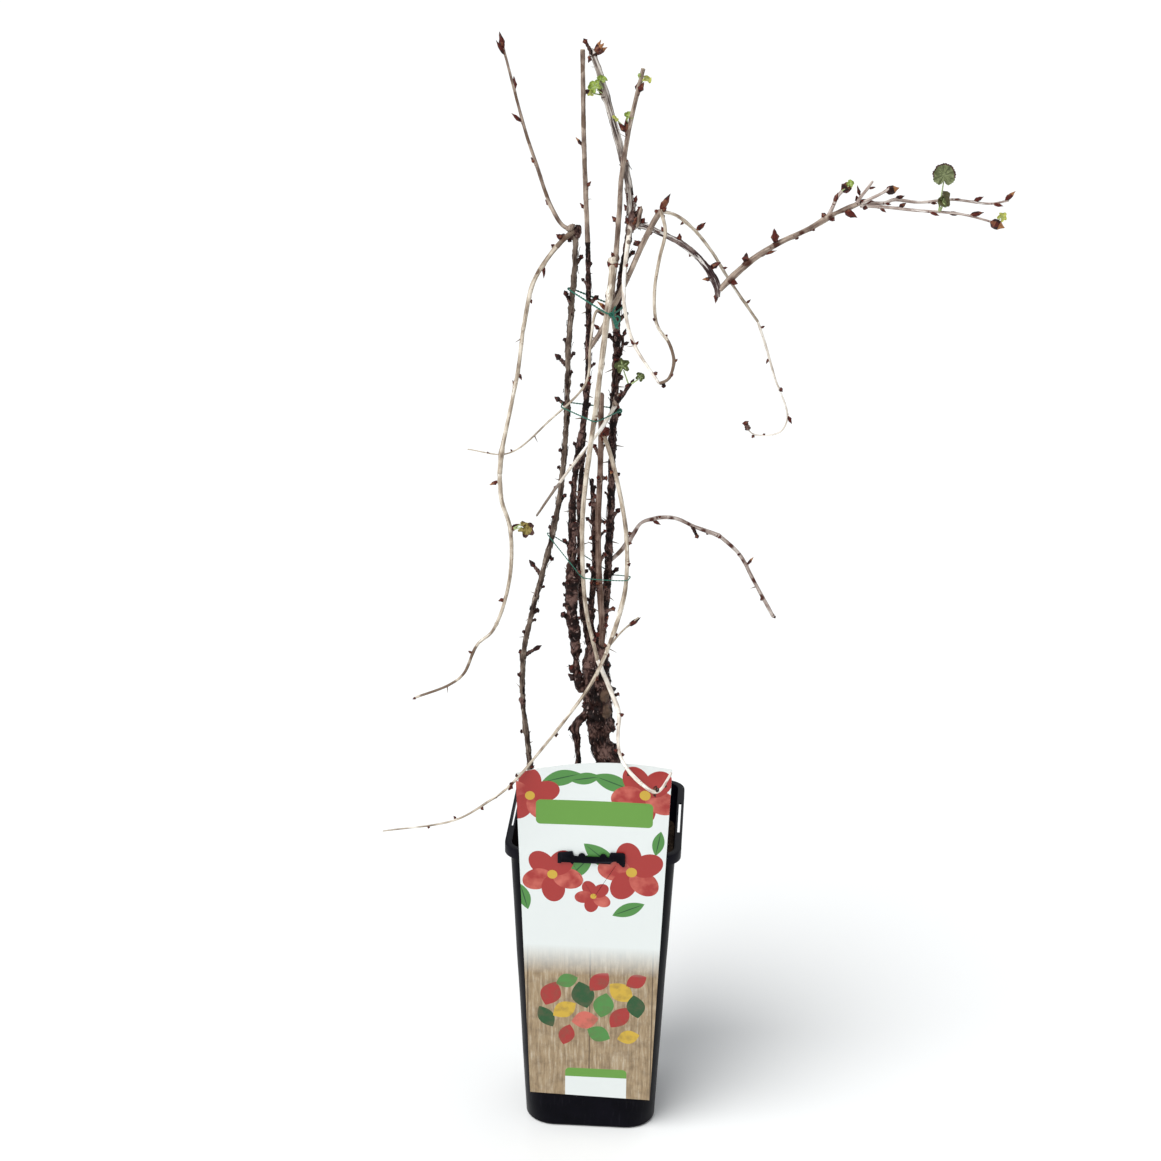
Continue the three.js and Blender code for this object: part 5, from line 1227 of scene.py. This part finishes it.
PALE_LIMBS = [
    dict(
        name="right_arch_upper", seed=19, foot=3.2, tip=2.6, blunt=True,
        path=[(43, -8, 815), (55, -4, 811), (69, 2, 799), (84, 12, 779), (98, 22, 755), (123, 32, 718)],
        buds=[(22, 225, 5, 2), (35, 50, 11, 4), (78, 70, 5, 2), (116, 50, 6, 2)],
    ),
    dict(
        name="right_arch_lower", seed=23, foot=2.6, tip=1.1,
        path=[(123, 32, 718), (131, 36, 695), (139, 40, 669), (151, 44, 634), (145, 44, 621),
              (124, 42, 619), (115, 42, 627)],
        buds=[(6, 60, 5, 2), (34, 205, 6, 2), (62, 135, 5, 3.5), (88, 150, 8, 3), (119, 60, 3, 2),
              (126, 215, 4, 2.5)],
        stubs=[(133, 340, 8, 5)],
    ),
    dict(
        name="front_shoot_upper", seed=12, blunt=True,
        path=[(6, 0, 770), (4, -12, 750), (1, -18, 716), (-4, -20, 667), (-14, -24, 574), (-14, -26, 527),
              (-10, -28, 482), (0, -30, 440)],
        swell=[(0, 6.2), (0.16, 5.8), (0.26, 4.8), (0.53, 4.7), (0.66, 4.3), (1, 3.7)],
        buds=[(3, 315, 7, 3.5), (3, 350, 9, 3.5), (3, 50, 6, 3.5), (25, 225, 5, 2.5), (83, 45, 4, 2),
              (126, 165, 6, 2.5), (223, 320, 4, 2), (259, 290, 5, 3.5), (316, 150, 6, 3.5)],
        spines=[(124, 85, 6, 1.5)],
    ),
    dict(
        name="front_shoot_lower", seed=15,
        path=[(0, -30, 440), (14, -37, 410), (19, -43, 399), (20, -64, 382), (24, -80, 373), (35, -88, 361),
              (51, -95, 352), (56, -97, 354), (66, -101, 373)],
        swell=[(0, 4), (0.2, 4.6), (0.27, 4.8), (0.4, 3.2), (0.6, 3), (0.72, 3.8), (0.85, 3.2), (0.9, 2.4),
               (1, 2.2)],
        buds=[(6, 20, 4, 2.5), (51, 55, 6, 3), (60, 315, 3, 2.5), (85, 280, 5, 3), (89, 85, 4, 3),
              (107, 220, 5, 2.5), (132, 155, 5, 2.5), (144, 100, 3, 2.5)],
        stubs=[(33, 70, 6, 3.5), (137, 320, 6, 3.5)],
    ),
    dict(
        name="low_left_shoot_upper", seed=16, blunt=True,
        path=[(-1, 2, 629), (4, -5, 620), (12, -12, 595), (21, -18, 550), (22, -22, 505), (16, -27, 475),
              (7, -37, 448)],
        swell=[(0, 3.8), (0.09, 4.1), (0.64, 4.1), (0.82, 4.7), (1, 3.7)],
        buds=[(5, 340, 7, 4), (5, 30, 8, 4), (8, 300, 5, 3.5), (112, 145, 4, 3), (187, 325, 6, 2.5),
              (190, 160, 6, 2.5)],
        ripe_buds=[(33, 225, 5, 3.5)],
    ),
    dict(
        name="low_left_shoot_lower", seed=18, foot=3.6, tip=1.3,
        path=[(7, -37, 448), (-5, -44, 423), (-40, -70, 379), (-69, -92, 349), (-84, -96, 338),
              (-112, -102, 322), (-171, -114, 315)],
        buds=[(21, 130, 4, 2.5), (127, 345, 4, 2.5), (134, 205, 6, 4), (136, 40, 5, 3), (152, 75, 3, 1.5),
              (166, 130, 4, 2.5), (189, 320, 4, 2), (212, 195, 3, 2)],
        ripe_buds=[(17, 195, 8, 3), (77, 180, 7, 3)],
    ),
    dict(
        name="thin_front_twig", seed=20,
        path=[(9, 17, 649), (4, 1, 642), (-2, -9, 634), (-10, -11, 624), (-37, -16, 586), (-53, -21, 562)],
        swell=[(0, 4), (0.28, 3.6), (0.48, 3.2), (0.67, 2.9), (0.8, 2.6), (1, 2.1)],
        buds=[(3, 105, 5, 4), (3, 35, 6, 4), (71, 330, 3, 1.5), (94, 5, 3, 2)],
    ),
    dict(
        name="thin_rear_twig", seed=22, foot=2.8, tip=1.1,
        path=[(3, -3, 729), (-6, -7, 733), (-11, -10, 705), (-14, -8, 674), (-44, 6, 637), (-80, 22, 602),
              (-117, 42, 598)],
        buds=[(69, 45, 5, 3), (71, 120, 5, 2.5), (170, 310, 3, 1.5), (195, 320, 2, 1.5)],
        spines=[(143, 155, 7, 1.5)],
    ),
    dict(
        name="left_arch_upper", seed=24, blunt=True,
        path=[(-25, 4, 796), (-35, -2, 788), (-46, -8, 775), (-57, -16, 756), (-64, -26, 720)],
        swell=[(0, 5.4), (0.12, 4.8), (0.22, 4.3), (1, 3.8)],
        buds=[(13, 310, 8, 4), (22, 300, 5, 3), (39, 175, 11, 2.5), (68, 150, 5, 2.5)],
    ),
    dict(
        name="left_arch_middle", seed=25, blunt=True,
        path=[(-64, -26, 720), (-67, -33, 690), (-73, -41, 656), (-79, -47, 624), (-80, -52, 608)],
        swell=[(0, 3.6), (0.6, 3.6), (0.8, 4), (0.86, 5.6), (0.91, 4.4), (1, 4.6)],
        buds=[(34, 150, 7, 2.5), (44, 330, 5, 1.5)],
        spines=[(6, 240, 7, 1.5)],
    ),
    dict(
        name="left_arch_lower", seed=26, foot=4.2, tip=2.2,
        path=[(-80, -52, 608), (-78, -56, 587), (-71, -58, 564), (-71, -62, 521), (-84, -66, 478),
              (-97, -67, 465), (-108, -70, 440), (-120, -71, 430), (-148, -72, 418)],
        buds=[(46, 65, 9, 3.5), (48, 45, 7, 3), (106, 260, 6, 3), (126, 200, 7, 3), (161, 305, 5, 2),
              (226, 235, 4, 2)],
        ripe_buds=[(6, 245, 10, 3)],
        spines=[(198, 175, 6, 1.5)],
        leaves=[(47, (8, -4, 5), 125, 15, 5, (0.2, -0.9, 0.7), "dead"),
                (47, (8, -3, 6), 75, 6, 3, (0.1, -0.6, 0.9), "dead")],
    ),
    dict(
        name="loop_right_half", seed=27, foot=3.2, tip=2.8, blunt=True,
        path=[(43, -9, 815), (47, -14, 800), (43, -20, 779), (40, -26, 754), (43, -32, 729), (53, -35, 715),
              (57, -37, 701), (53, -38, 687), (46, -38, 683)],
        buds=[(3, 145, 4, 3), (87, 315, 4, 2), (102, 35, 3, 2), (123, 50, 4, 2), (135, 45, 4, 2)],
        stubs=[(143, 165, 5, 3.5)],
    ),
    dict(
        name="loop_left_half", seed=28, foot=4.4, tip=2.4, blunt=True,
        path=[(19, 6, 803), (17, -2, 786), (15, -12, 756), (17, -18, 735), (25, -26, 711), (46, -38, 683)],
        buds=[(3, 330, 8, 4.5), (3, 35, 10, 4), (4, 65, 6, 3), (37, 35, 5, 2), (100, 325, 7, 2),
              (100, 40, 5, 2), (128, 45, 5, 3)],
        spines=[(100, 255, 8, 1)],
    ),
    dict(
        name="low_spur", seed=35, foot=2.2, tip=1.6,
        path=[(3, 2, 434), (10, -2, 444), (19, -6, 457), (33, -10, 472)],
        buds=[(21, 5, 5, 2), (37, 50, 14, 4)],
    ),
]
for limb in PALE_LIMBS:
    limb["slim"] = 0.88
    grow(limb)
    finish_of = white_bark if limb["name"] in WHITE_LIMBS else pale_bark
    skin = bark_tube(limb, limb["name"] + "_bark", finish_of, 14, 1.0 * MM, shoot_relief)
    hold(skin, "pale_shoot", limb["name"])
ALL_LIMBS = OLD_LIMBS + GREY_LIMBS + TAN_LIMBS + SPRAY_TWIGS + PALE_LIMBS


# ---------------------------------------------------------------- peeling bark
# Thin curls of dead bark stand off the old wood and the foot of the top shoot. Each is a ribbon that
# lies along the limb at its lower end and lifts away at the other.
CURL_THICKNESS = 0.25 * MM
CURL_LENGTH = (4, 10)
CURL_WIDTH = (0.8, 2.2)
CURL_LIFT = (0.3, 2.2)


def grain_from_place(bm):
    """A loose scrap of bark takes its grain from where it stands."""
    grain = bm.verts.layers.float_vector.new("grain")
    for vert in bm.verts:
        vert[grain] = vert.co.copy()


curl_bm = bmesh.new()
curl_luck = random.Random(31)
CURLED = {limb["name"]: (0.02, 0.96, 9 * MM) for limb in OLD_LIMBS[:7]} | {
    "trunk": (0.35, 1.0, 2.2 * MM), "shoot_top": (0.02, 0.42, 4 * MM), "right_arm": (0.02, 0.6, 9 * MM),
}
for limb in ALL_LIMBS:
    start, end, spacing = CURLED.get(limb.get("name"), (0, 0, 1))
    route = limb["route"]
    for k in range(math.floor((end - start) * route.length / spacing)):
        foot = mix(start, end, curl_luck.random())
        turn = curl_luck.uniform(0, 2 * math.pi)
        length = curl_luck.uniform(*CURL_LENGTH) * MM * curl_luck.choice((1, -1))
        width = curl_luck.uniform(*CURL_WIDTH) * MM
        lift = curl_luck.uniform(*CURL_LIFT) * MM
        ribbon = bmesh.ops.create_grid(curl_bm, x_segments=1, y_segments=6, size=0.5)["verts"]
        for vert in ribbon:
            up = vert.co.y + 0.5
            share = min(max(foot + up * length / route.length, 0), 1)
            out = outward(route.heading(share), turn)
            side = route.heading(share).cross(out)
            away = thickness(limb, share) * 1.04 + 0.2 * MM + lift * up ** 3
            vert.co = route.at(share) + out * away + side * vert.co.x * width * (1 - 0.6 * up)
bmesh.ops.solidify(curl_bm, geom=curl_bm.faces, thickness=CURL_THICKNESS)
bmesh.ops.recalc_face_normals(curl_bm, faces=curl_bm.faces)
grain_from_place(curl_bm)
curls = piece_from(curl_bm, "bark_curls", old_bark, smooth_under=50)
hold(curls, "old_bark")


# ---------------------------------------------------------------- buds and spurs
# Pointed buds in overlapping red-brown scales stand off the shoots, and some show an orange tip where
# they are about to open. On old wood a bud sits on a ringed spur. They are small, so they are joined.
BUD_SIDES = 7
BUD_RINGS = 7
BUD_FATTER = 1.2
BUD_WIDEST = 0.36
SCALE_OUT = 1.15
SCALE_IN = 0.88
SPUR_SEED = 12
BUD_COLOURS = {
    "bud_dark": (0.018, 0.005, 0.004),
    "bud_red": (0.080, 0.012, 0.007),
    "bud_brown": (0.15, 0.052, 0.026),
    "bud_tip": (0.30, 0.13, 0.05),
}


def plain_skin(name, colour, roughness, speckle=0.35, scale=1300):
    """A plain plant skin with a slight mottle over one colour."""
    material, tree, shader = finish(name, roughness, 0.22)
    place = on_object(tree)
    mottle = cloud(tree, place, scale, 4)
    darker = tuple(c * (1 - speckle) for c in colour)
    lighter = tuple(min(1, c * (1 + speckle)) for c in colour)
    paint(tree, shader, ramp(tree, mottle, (0.35, darker), (0.65, lighter)))
    rough_up(tree, shader, (mottle, 0.3, 0.0003))
    return material


def stood_on(root, way):
    """The place of something that grows up from `root` and leans the given way."""
    return Matrix.Translation(root) @ way.to_track_quat("Z", "Y").to_matrix().to_4x4()


def face_place(face):
    """Faces are sorted by where they are, so that each run colours the same ones alike."""
    middle = face.calc_center_median()
    return round(middle.z, 3), round(middle.x, 3), round(middle.y, 3)


bud_skins = [plain_skin(name, colour, 0.5) for name, colour in BUD_COLOURS.items()]
bud_luck = random.Random(12)
noise.seed_set(SPUR_SEED)


def add_bud(bm, root, tip, width, skins, ripe, widest=BUD_WIDEST):
    """A pointed spindle whose vertices stand out and in by turns, as overlapping scales do."""
    length = (tip - root).length
    made = bmesh.ops.create_uvsphere(bm, u_segments=BUD_SIDES, v_segments=BUD_RINGS, radius=1)["verts"]
    for face in sorted({face for vert in made for face in vert.link_faces}, key=face_place):
        high = face.calc_center_median().z
        face.material_index = 3 if ripe and high > 0.2 else bud_luck.choice(skins)
    for vert in made:
        up = (vert.co.z + 1) / 2
        level = round(math.acos(max(-1, min(1, vert.co.z))) / math.pi * BUD_RINGS)
        step = round(math.atan2(vert.co.y, vert.co.x) / (2 * math.pi) * BUD_SIDES)
        fat = (up / widest) ** 0.6 if up < widest else (1 - ((up - widest) / (1 - widest)) ** 1.25)
        scale = SCALE_OUT if (level + step) % 2 else SCALE_IN
        flat = math.hypot(vert.co.x, vert.co.y) or 1
        spread = max(0, fat) * scale * width / 2
        vert.co = Vector((vert.co.x / flat * spread, vert.co.y / flat * spread, up * length))
    bmesh.ops.transform(bm, matrix=stood_on(root, tip - root), verts=made)


def ringed_tube(sides, rings, spread):
    """A closed upright tube of unit length, cut into rings; `spread` gives the radius at each level."""
    bm = bmesh.new()
    ringed_cylinder(bm, sides, rings)
    for vert in bm.verts:
        level = round((vert.co.z + 1) / 2 * rings)
        vert.co = Vector((vert.co.x * spread(level), vert.co.y * spread(level), level / rings))
    return mesh_from(bm, "ringed_tube")


spur_shape = ringed_tube(8, 6, lambda level: (1.4 - 0.08 * level) * (1.18 if level % 2 else 0.9))


def add_spur(bm, root, tip, radius):
    """A short ringed spur, with its rings a little out of true."""
    first = len(bm.verts)
    bm.from_mesh(spur_shape)
    bm.verts.ensure_lookup_table()
    made = bm.verts[first:]
    for vert in made:
        vert.co += 0.12 * noise.noise_vector(vert.co * 2 + root * 900) * (1 if vert.co.z > 0 else 0)
    size = Matrix.Diagonal((radius, radius, (tip - root).length, 1))
    bmesh.ops.transform(bm, matrix=stood_on(root, tip - root) @ size, verts=made)


old_names = {limb["name"] for limb in OLD_LIMBS}
bud_bm = bmesh.new()
spur_bm = bmesh.new()
for limb in ALL_LIMBS:
    route = limb["route"]
    aged = limb.get("name") in old_names
    for kind, share, heading, reach, width in limb["growths"]:
        if kind == "spines":
            continue
        out = square_to(route.heading(share), heading)
        tip = route.at(share) + heading * reach
        root = route.at(share) + out * thickness(limb, share) * 0.6
        skins = (0, 0, 0, 1) if aged else (0, 1, 1, 1, 2)
        widest = BUD_WIDEST
        if kind == "stubs":
            neck = root.lerp(tip, 0.5 if aged else 0.7)
            add_spur(spur_bm, root, neck, width * 0.36)
            root = root.lerp(tip, 0.42 if aged else 0.55)
            widest = 0.45 if aged else 0.6
        add_bud(bud_bm, root, tip, width * BUD_FATTER, skins, kind == "ripe_buds", widest)
buds = piece_from(bud_bm, "buds", *bud_skins, smooth_under=25)
hold(buds, "grey_shoot")


grain_from_place(spur_bm)
spurs = piece_from(spur_bm, "spurs", old_bark, smooth_under=50)
hold(spurs, "old_bark")


# ---------------------------------------------------------------- spines
# Slim brown spines stand under the nodes and singly along the shoots, hard outgrowths of the bark.
# Each tapers to its point and is bent a little. They are small, so they are joined.
SPINE_BEND = 0.16
spine_shape = ringed_tube(6, 4, lambda level: 1.15 * (1 - level / 4) ** 0.8 + 0.06)
spine_skin = plain_skin("spine_skin", (0.15, 0.095, 0.065), 0.6)
spine_bm = bmesh.new()
for limb in ALL_LIMBS:
    for kind, share, heading, reach, width in limb["growths"]:
        if kind != "spines":
            continue
        first = len(spine_bm.verts)
        spine_bm.from_mesh(spine_shape)
        spine_bm.verts.ensure_lookup_table()
        made = spine_bm.verts[first:]
        for vert in made:
            vert.co.x *= 0.35 * width / reach
            vert.co.y *= 0.35 * width / reach
            vert.co.x += SPINE_BEND * vert.co.z * (1 - vert.co.z)
        place = stood_on(limb["route"].at(share), heading) @ Matrix.Scale(reach, 4)
        bmesh.ops.transform(spine_bm, matrix=place, verts=made)
spines = piece_from(spine_bm, "spines", spine_skin)
hold(spines, "old_bark")


# ---------------------------------------------------------------- knobs and cut stubs
# Where two years' growth join, the bark makes a lumpy ring or knob, and where a twig was pruned a
# short stub is left.
KNOBS = [
    # from, to, width in mm, skin: 0 pale, 1 tan, 2 dark, 3 red scales
    ((-31.5, 1, 796), (-26, 1, 800), 4.6, 1), ((-24, 3, 790), (-22.5, 3, 799), 6.6, 2),
    ((-36.5, 0, 789), (-33, 1, 792), 5, 2), ((5, 0, 768), (5, 0, 775), 8, 0),
    ((3.6, -8, 746.5), (3.9, -7.6, 749.5), 6.6, 0), ((24, 4, 800), (27, 5, 814), 3.8, 1),
    ((-1, 1, 625), (3, 1, 633), 7.5, 3), ((8.5, 12, 650), (12, 12, 659), 6.6, 1),
    ((20, 5, 797), (20, 4, 811), 6.4, 2), ((22, 4, 786), (29, 2, 786), 4.4, 2),
    ((29, 2, 786), (31, 3, 793), 4, 3), ((-66, 9, 380), (-67, 10, 386), 6, 2),
]
knob_skins = [pale_bark, tan_bark, old_bark, bud_skins[1]]
knob_bm = bmesh.new()
for low, high, width, skin in KNOBS:
    low, high = Vector(low) * MM, Vector(high) * MM
    made = bmesh.ops.create_uvsphere(knob_bm, u_segments=14, v_segments=12, radius=1)["verts"]
    for face in {face for vert in made for face in vert.link_faces}:
        face.material_index = skin
    for vert in made:
        ridge = 1 + 0.3 * noise.noise(vert.co * 2.2 + low * 700) + 0.05 * math.cos(vert.co.z * 9)
        vert.co *= ridge
    size = Matrix.Diagonal((width / 2 * MM, width / 2 * MM, (high - low).length * 0.6, 1))
    bmesh.ops.transform(knob_bm, matrix=stood_on((low + high) / 2, high - low) @ size, verts=made)
grain_from_place(knob_bm)
knobs = piece_from(knob_bm, "knobs", *knob_skins, smooth_under=60)
hold(knobs, "pale_shoot")


# ---------------------------------------------------------------- leaves
# A few buds have opened into small lobed leaves on short stalks, and last year's dead leaf still
# hangs on an arch. Each blade is crumpled along its veins, toothed at the edge, and thin as paper.
LEAF_RINGS = 7
LEAF_THICKNESS = 0.35 * MM
LEAF_MIDDLE = 0.42
STALK_FOOT = 0.75 * MM
STALK_TOP = 0.5 * MM
VEIN_HALF = 0.035
LEAF_COLOURS = {
    "fresh": (0.25, 0.33, 0.065),
    "olive": (0.095, 0.115, 0.040),
    "yellow": (0.42, 0.43, 0.10),
    "edged": (0.155, 0.178, 0.084),
    "flap": (0.095, 0.088, 0.038),
    "dead": (0.24, 0.19, 0.055),
    "rim": (0.075, 0.035, 0.030),
    "vein": (0.34, 0.42, 0.19),
    "soft_vein": (0.185, 0.215, 0.105),
}
leaf_skins = [plain_skin("leaf_" + name, colour, 0.55, 0.28, 600) for name, colour in LEAF_COLOURS.items()]
leaf_order = list(LEAF_COLOURS)
leaf_bm = bmesh.new()
stalk_bm = bmesh.new()


def leaf_edge(turn_share, lobes):
    """How far the edge stands out at a turn from the stalk: round lobes, each cut into teeth."""
    lobe = abs(math.sin(turn_share * lobes * math.pi))
    tooth = abs(math.sin(turn_share * lobes * 3 * math.pi))
    depth = 0.34 if lobes < 8 else 0.07
    notch = 1 - 0.45 * math.exp(-((min(turn_share, 1 - turn_share) / 0.05) ** 2))
    return (1 - depth + depth * lobe ** 0.8 - 0.09 * tooth) * notch


def add_leaf(base, stalk_end, degrees, size, lobes, face_way, tint_name):
    """One blade: rings from its middle out to a lobed edge, folded along its lobes and crumpled."""
    face = Vector(face_way).normalized()
    up = square_to(face, clock_way(degrees, 0))
    side = up.cross(face)
    steps = lobes * 8
    crumple = 0.10 if lobes > 7 else 0.24
    blade = bmesh.new()
    bmesh.ops.create_circle(blade, cap_ends=True, cap_tris=True, segments=steps, radius=1)
    spokes = [e for e in blade.edges if any(v.co.length < 0.01 for v in e.verts)]
    bmesh.ops.subdivide_edges(blade, edges=spokes, cuts=LEAF_RINGS - 1)
    spot = base.x * 900 + base.z * 700
    for vert in blade.verts:
        reach = vert.co.length
        turn_share = (math.atan2(vert.co.x, -vert.co.y) / (2 * math.pi)) % 1
        fold = 0.14 * reach * math.cos(turn_share * lobes * 2 * math.pi)
        dent = crumple * reach * noise.noise(Vector((vert.co.x * 1.6, vert.co.y * 1.6, spot)))
        flat = vert.co * (1 + (leaf_edge(turn_share, lobes) - 1) * reach)
        vert.co = Vector((flat.x, flat.y, fold + 2 * dent + 0.2 * reach ** 2)) * size / 2
    for blade_face in blade.faces:
        middle = blade_face.calc_center_median()
        lobe_share = (math.atan2(middle.x, -middle.y) / (2 * math.pi) * lobes) % 1
        reach = middle.length / (size / 2)
        kind = tint_name
        if tint_name in ("edged", "dead") and reach > (0.8 if lobes > 7 else 0.6) and middle.y > -0.1 * size:
            kind = "rim"
        elif tint_name not in ("dead", "flap") and reach < 0.75 and reach * abs(lobe_share - 0.5) < VEIN_HALF:
            kind = "soft_vein" if tint_name == "edged" else "vein"
        blade_face.material_index = leaf_order.index(kind)
    bmesh.ops.solidify(blade, geom=blade.faces, thickness=LEAF_THICKNESS)
    hinge = Matrix((side, up, face)).transposed().to_4x4()
    place = Matrix.Translation(stalk_end + up * size * LEAF_MIDDLE) @ hinge
    bmesh.ops.transform(blade, matrix=place, verts=blade.verts)
    made = mesh_from(blade, "blade")
    leaf_bm.from_mesh(made)
    bpy.data.meshes.remove(made)
    stalk_top = stalk_end + up * size * 0.15
    stalk = stalk_top - base
    bmesh.ops.create_cone(stalk_bm, cap_ends=True, segments=8, radius1=STALK_FOOT, radius2=STALK_TOP,
                          depth=stalk.length, matrix=stood_on(base + stalk / 2, stalk))


for limb in ALL_LIMBS:
    for place, stalk_way, degrees, size, lobes, face_way, tint_name in limb.get("leaves", ()):
        base = limb["route"].at(place * MM / limb["route"].length)
        add_leaf(base, base + Vector(stalk_way) * MM, degrees, size * MM, lobes, face_way, tint_name)
leaves = piece_from(leaf_bm, "leaves", *leaf_skins, smooth_under=50)
hold(leaves, "pale_shoot")
stalks = piece_from(stalk_bm, "leaf_stalks", leaf_skins[leaf_order.index("vein")])
hold(stalks, "pale_shoot")


# ---------------------------------------------------------------- ties
# Three ties of green twine hold the bundle together. Each is a twisted cord drawn once round the
# outermost limbs and knotted at the front. The top one ends in a bow and a frayed tail.
TWINE_RADIUS = 0.8 * MM
TWINE_SLACK = 0.5 * MM
TIE_STEPS = 26
TIE_SAMPLES = 160
TWINE_LAY = 5 * MM
TWINE_STEP = 0.8 * MM
STRAND_APART = 0.48
STRAND_RADIUS = 0.58
TIES = [
    # name, height at the bend, place of the bend, climb to the left and right of it, reach, heading
    # of the knot as a share of a turn, tails as (across, up, length), thickness
    ("tie_top", 731.5, 10, (0.38, 0.3), 34, 0.19,
     [(0.3, 1, 9), (0.5, -1, 12), (0.35, -1, 11), (0.7, -1, 9)], 1),
    ("tie_middle", 643.5, 12, (0.14, 0.1), 36, 0.25, [], 0.8),
    ("tie_low", 497, 9, (0.72, 0.9), 56, 0.5, [], 0.65),
]
HANGS_FREE = ("tie_top", "loop_left_half")

twine, tree, shader = finish("twine", 0.55)
at_strand = wire(tree, "Attribute", attribute_name="grain").outputs["Vector"]
fibre = cloud(tree, at_strand, 2600, 5)
paint(tree, shader, ramp(tree, fibre, (0.3, (0.004, 0.055, 0.040)), (0.7, (0.02, 0.20, 0.13))))
rough_up(tree, shader, (fibre, 0.6, 0.0003))


def tie_height(tie, x):
    _, height, bend, climb, *_ = tie
    return height + (climb[0] * (bend - x) if x < bend else climb[1] * (x - bend))


def crossings(tie):
    """Where each limb passes through a tie's plane, with its radius there."""
    found = []
    for limb in ALL_LIMBS:
        if (tie[0], limb.get("name")) == HANGS_FREE:
            continue
        spots = [limb["route"].at(k / TIE_SAMPLES) for k in range(TIE_SAMPLES + 1)]
        above = [p.z / MM - tie_height(tie, p.x / MM) for p in spots]
        for k in range(TIE_SAMPLES):
            point = spots[k].lerp(spots[k + 1], 0.5)
            if above[k] * above[k + 1] <= 0 and math.hypot(point.x, point.y) < tie[4] * MM:
                found.append((point, thickness(limb, (k + 0.5) / TIE_SAMPLES)))
    return found


def twisted_cord(bm, points, radius):
    """Two strands wound round each other along the points, each a round tube, added to bm."""
    route = Route(points)
    turns = max(1, round(route.length / TWINE_LAY))
    count = max(12, round(route.length / TWINE_STEP))
    for strand in range(2):
        strand_bm = bmesh.new()
        grain = strand_bm.verts.layers.float_vector.new("grain")
        ringed_cylinder(strand_bm, 7, count)
        for vert in strand_bm.verts:
            share = (vert.co.z + 1) / 2
            along = route.heading(share)
            side_way = outward(along, 0) if abs(along.y) < 0.98 else Vector((1, 0, 0))
            across = along.cross(side_way)
            wind = (strand + 2 * turns * share) * math.pi
            aside = side_way * math.cos(wind) + across * math.sin(wind)
            angle = math.atan2(vert.co.y, vert.co.x)
            vert[grain] = (vert.co.x * MM, vert.co.y * MM, share * route.length)
            skin_way = side_way * math.cos(angle) + across * math.sin(angle)
            vert.co = route.at(share) + (aside * STRAND_APART + skin_way * STRAND_RADIUS) * radius
        mesh = mesh_from(strand_bm, "strand")
        bm.from_mesh(mesh)
        bpy.data.meshes.remove(mesh)


def ring_round(middle, across, up, tilt):
    """A closed ring of cord, seen from the front as wide as `across` and as high as `up`."""
    ring = []
    for k in range(11):
        turn = k / 10 * 2 * math.pi
        ring.append(middle + Vector((across * math.cos(turn), tilt * math.sin(turn), up * math.sin(turn))))
    return ring


for tie in TIES:
    name, knot, tails, weight = tie[0], tie[5], tie[6], tie[7]
    limbs = crossings(tie)
    loop = []
    for k in range(TIE_STEPS):
        heading = k / TIE_STEPS * 2 * math.pi
        out = Vector((math.cos(heading), math.sin(heading), 0))
        point, radius = max(limbs, key=lambda found: found[0].dot(out) + found[1])
        spot = point + out * (radius * 1.08 + TWINE_RADIUS + TWINE_SLACK)
        loop.append((spot.x / MM, spot.y / MM, tie_height(tie, spot.x / MM)))
    knot_at = Vector(loop[round((knot - 0.25) * TIE_STEPS) % TIE_STEPS])
    tie_bm = bmesh.new()
    twisted_cord(tie_bm, loop + loop[:1], TWINE_RADIUS * weight)
    for x, z, length in tails:
        tail_way = Vector((x, -0.4, z)).normalized()
        tail = [knot_at + tail_way * length * k / 4 + Vector((0.5, 0, -0.5)) * (k / 4) ** 2 for k in range(5)]
        twisted_cord(tie_bm, tail, TWINE_RADIUS)
    forward = knot_at + Vector((0, -0.6, 0))
    twisted_cord(tie_bm, ring_round(forward, 1.9, 1.3, 0.4), TWINE_RADIUS)
    twisted_cord(tie_bm, ring_round(forward, 1.1, 2.0, -0.5), TWINE_RADIUS)
    if tails:
        twisted_cord(tie_bm, ring_round(knot_at + Vector((4.5, -0.8, -3.5)), 2.0, 2.4, 0.5), TWINE_RADIUS)
    wrapped = piece_from(tie_bm, name + "_twine", twine, smooth_under=60)
    hold(wrapped, "twine", name)
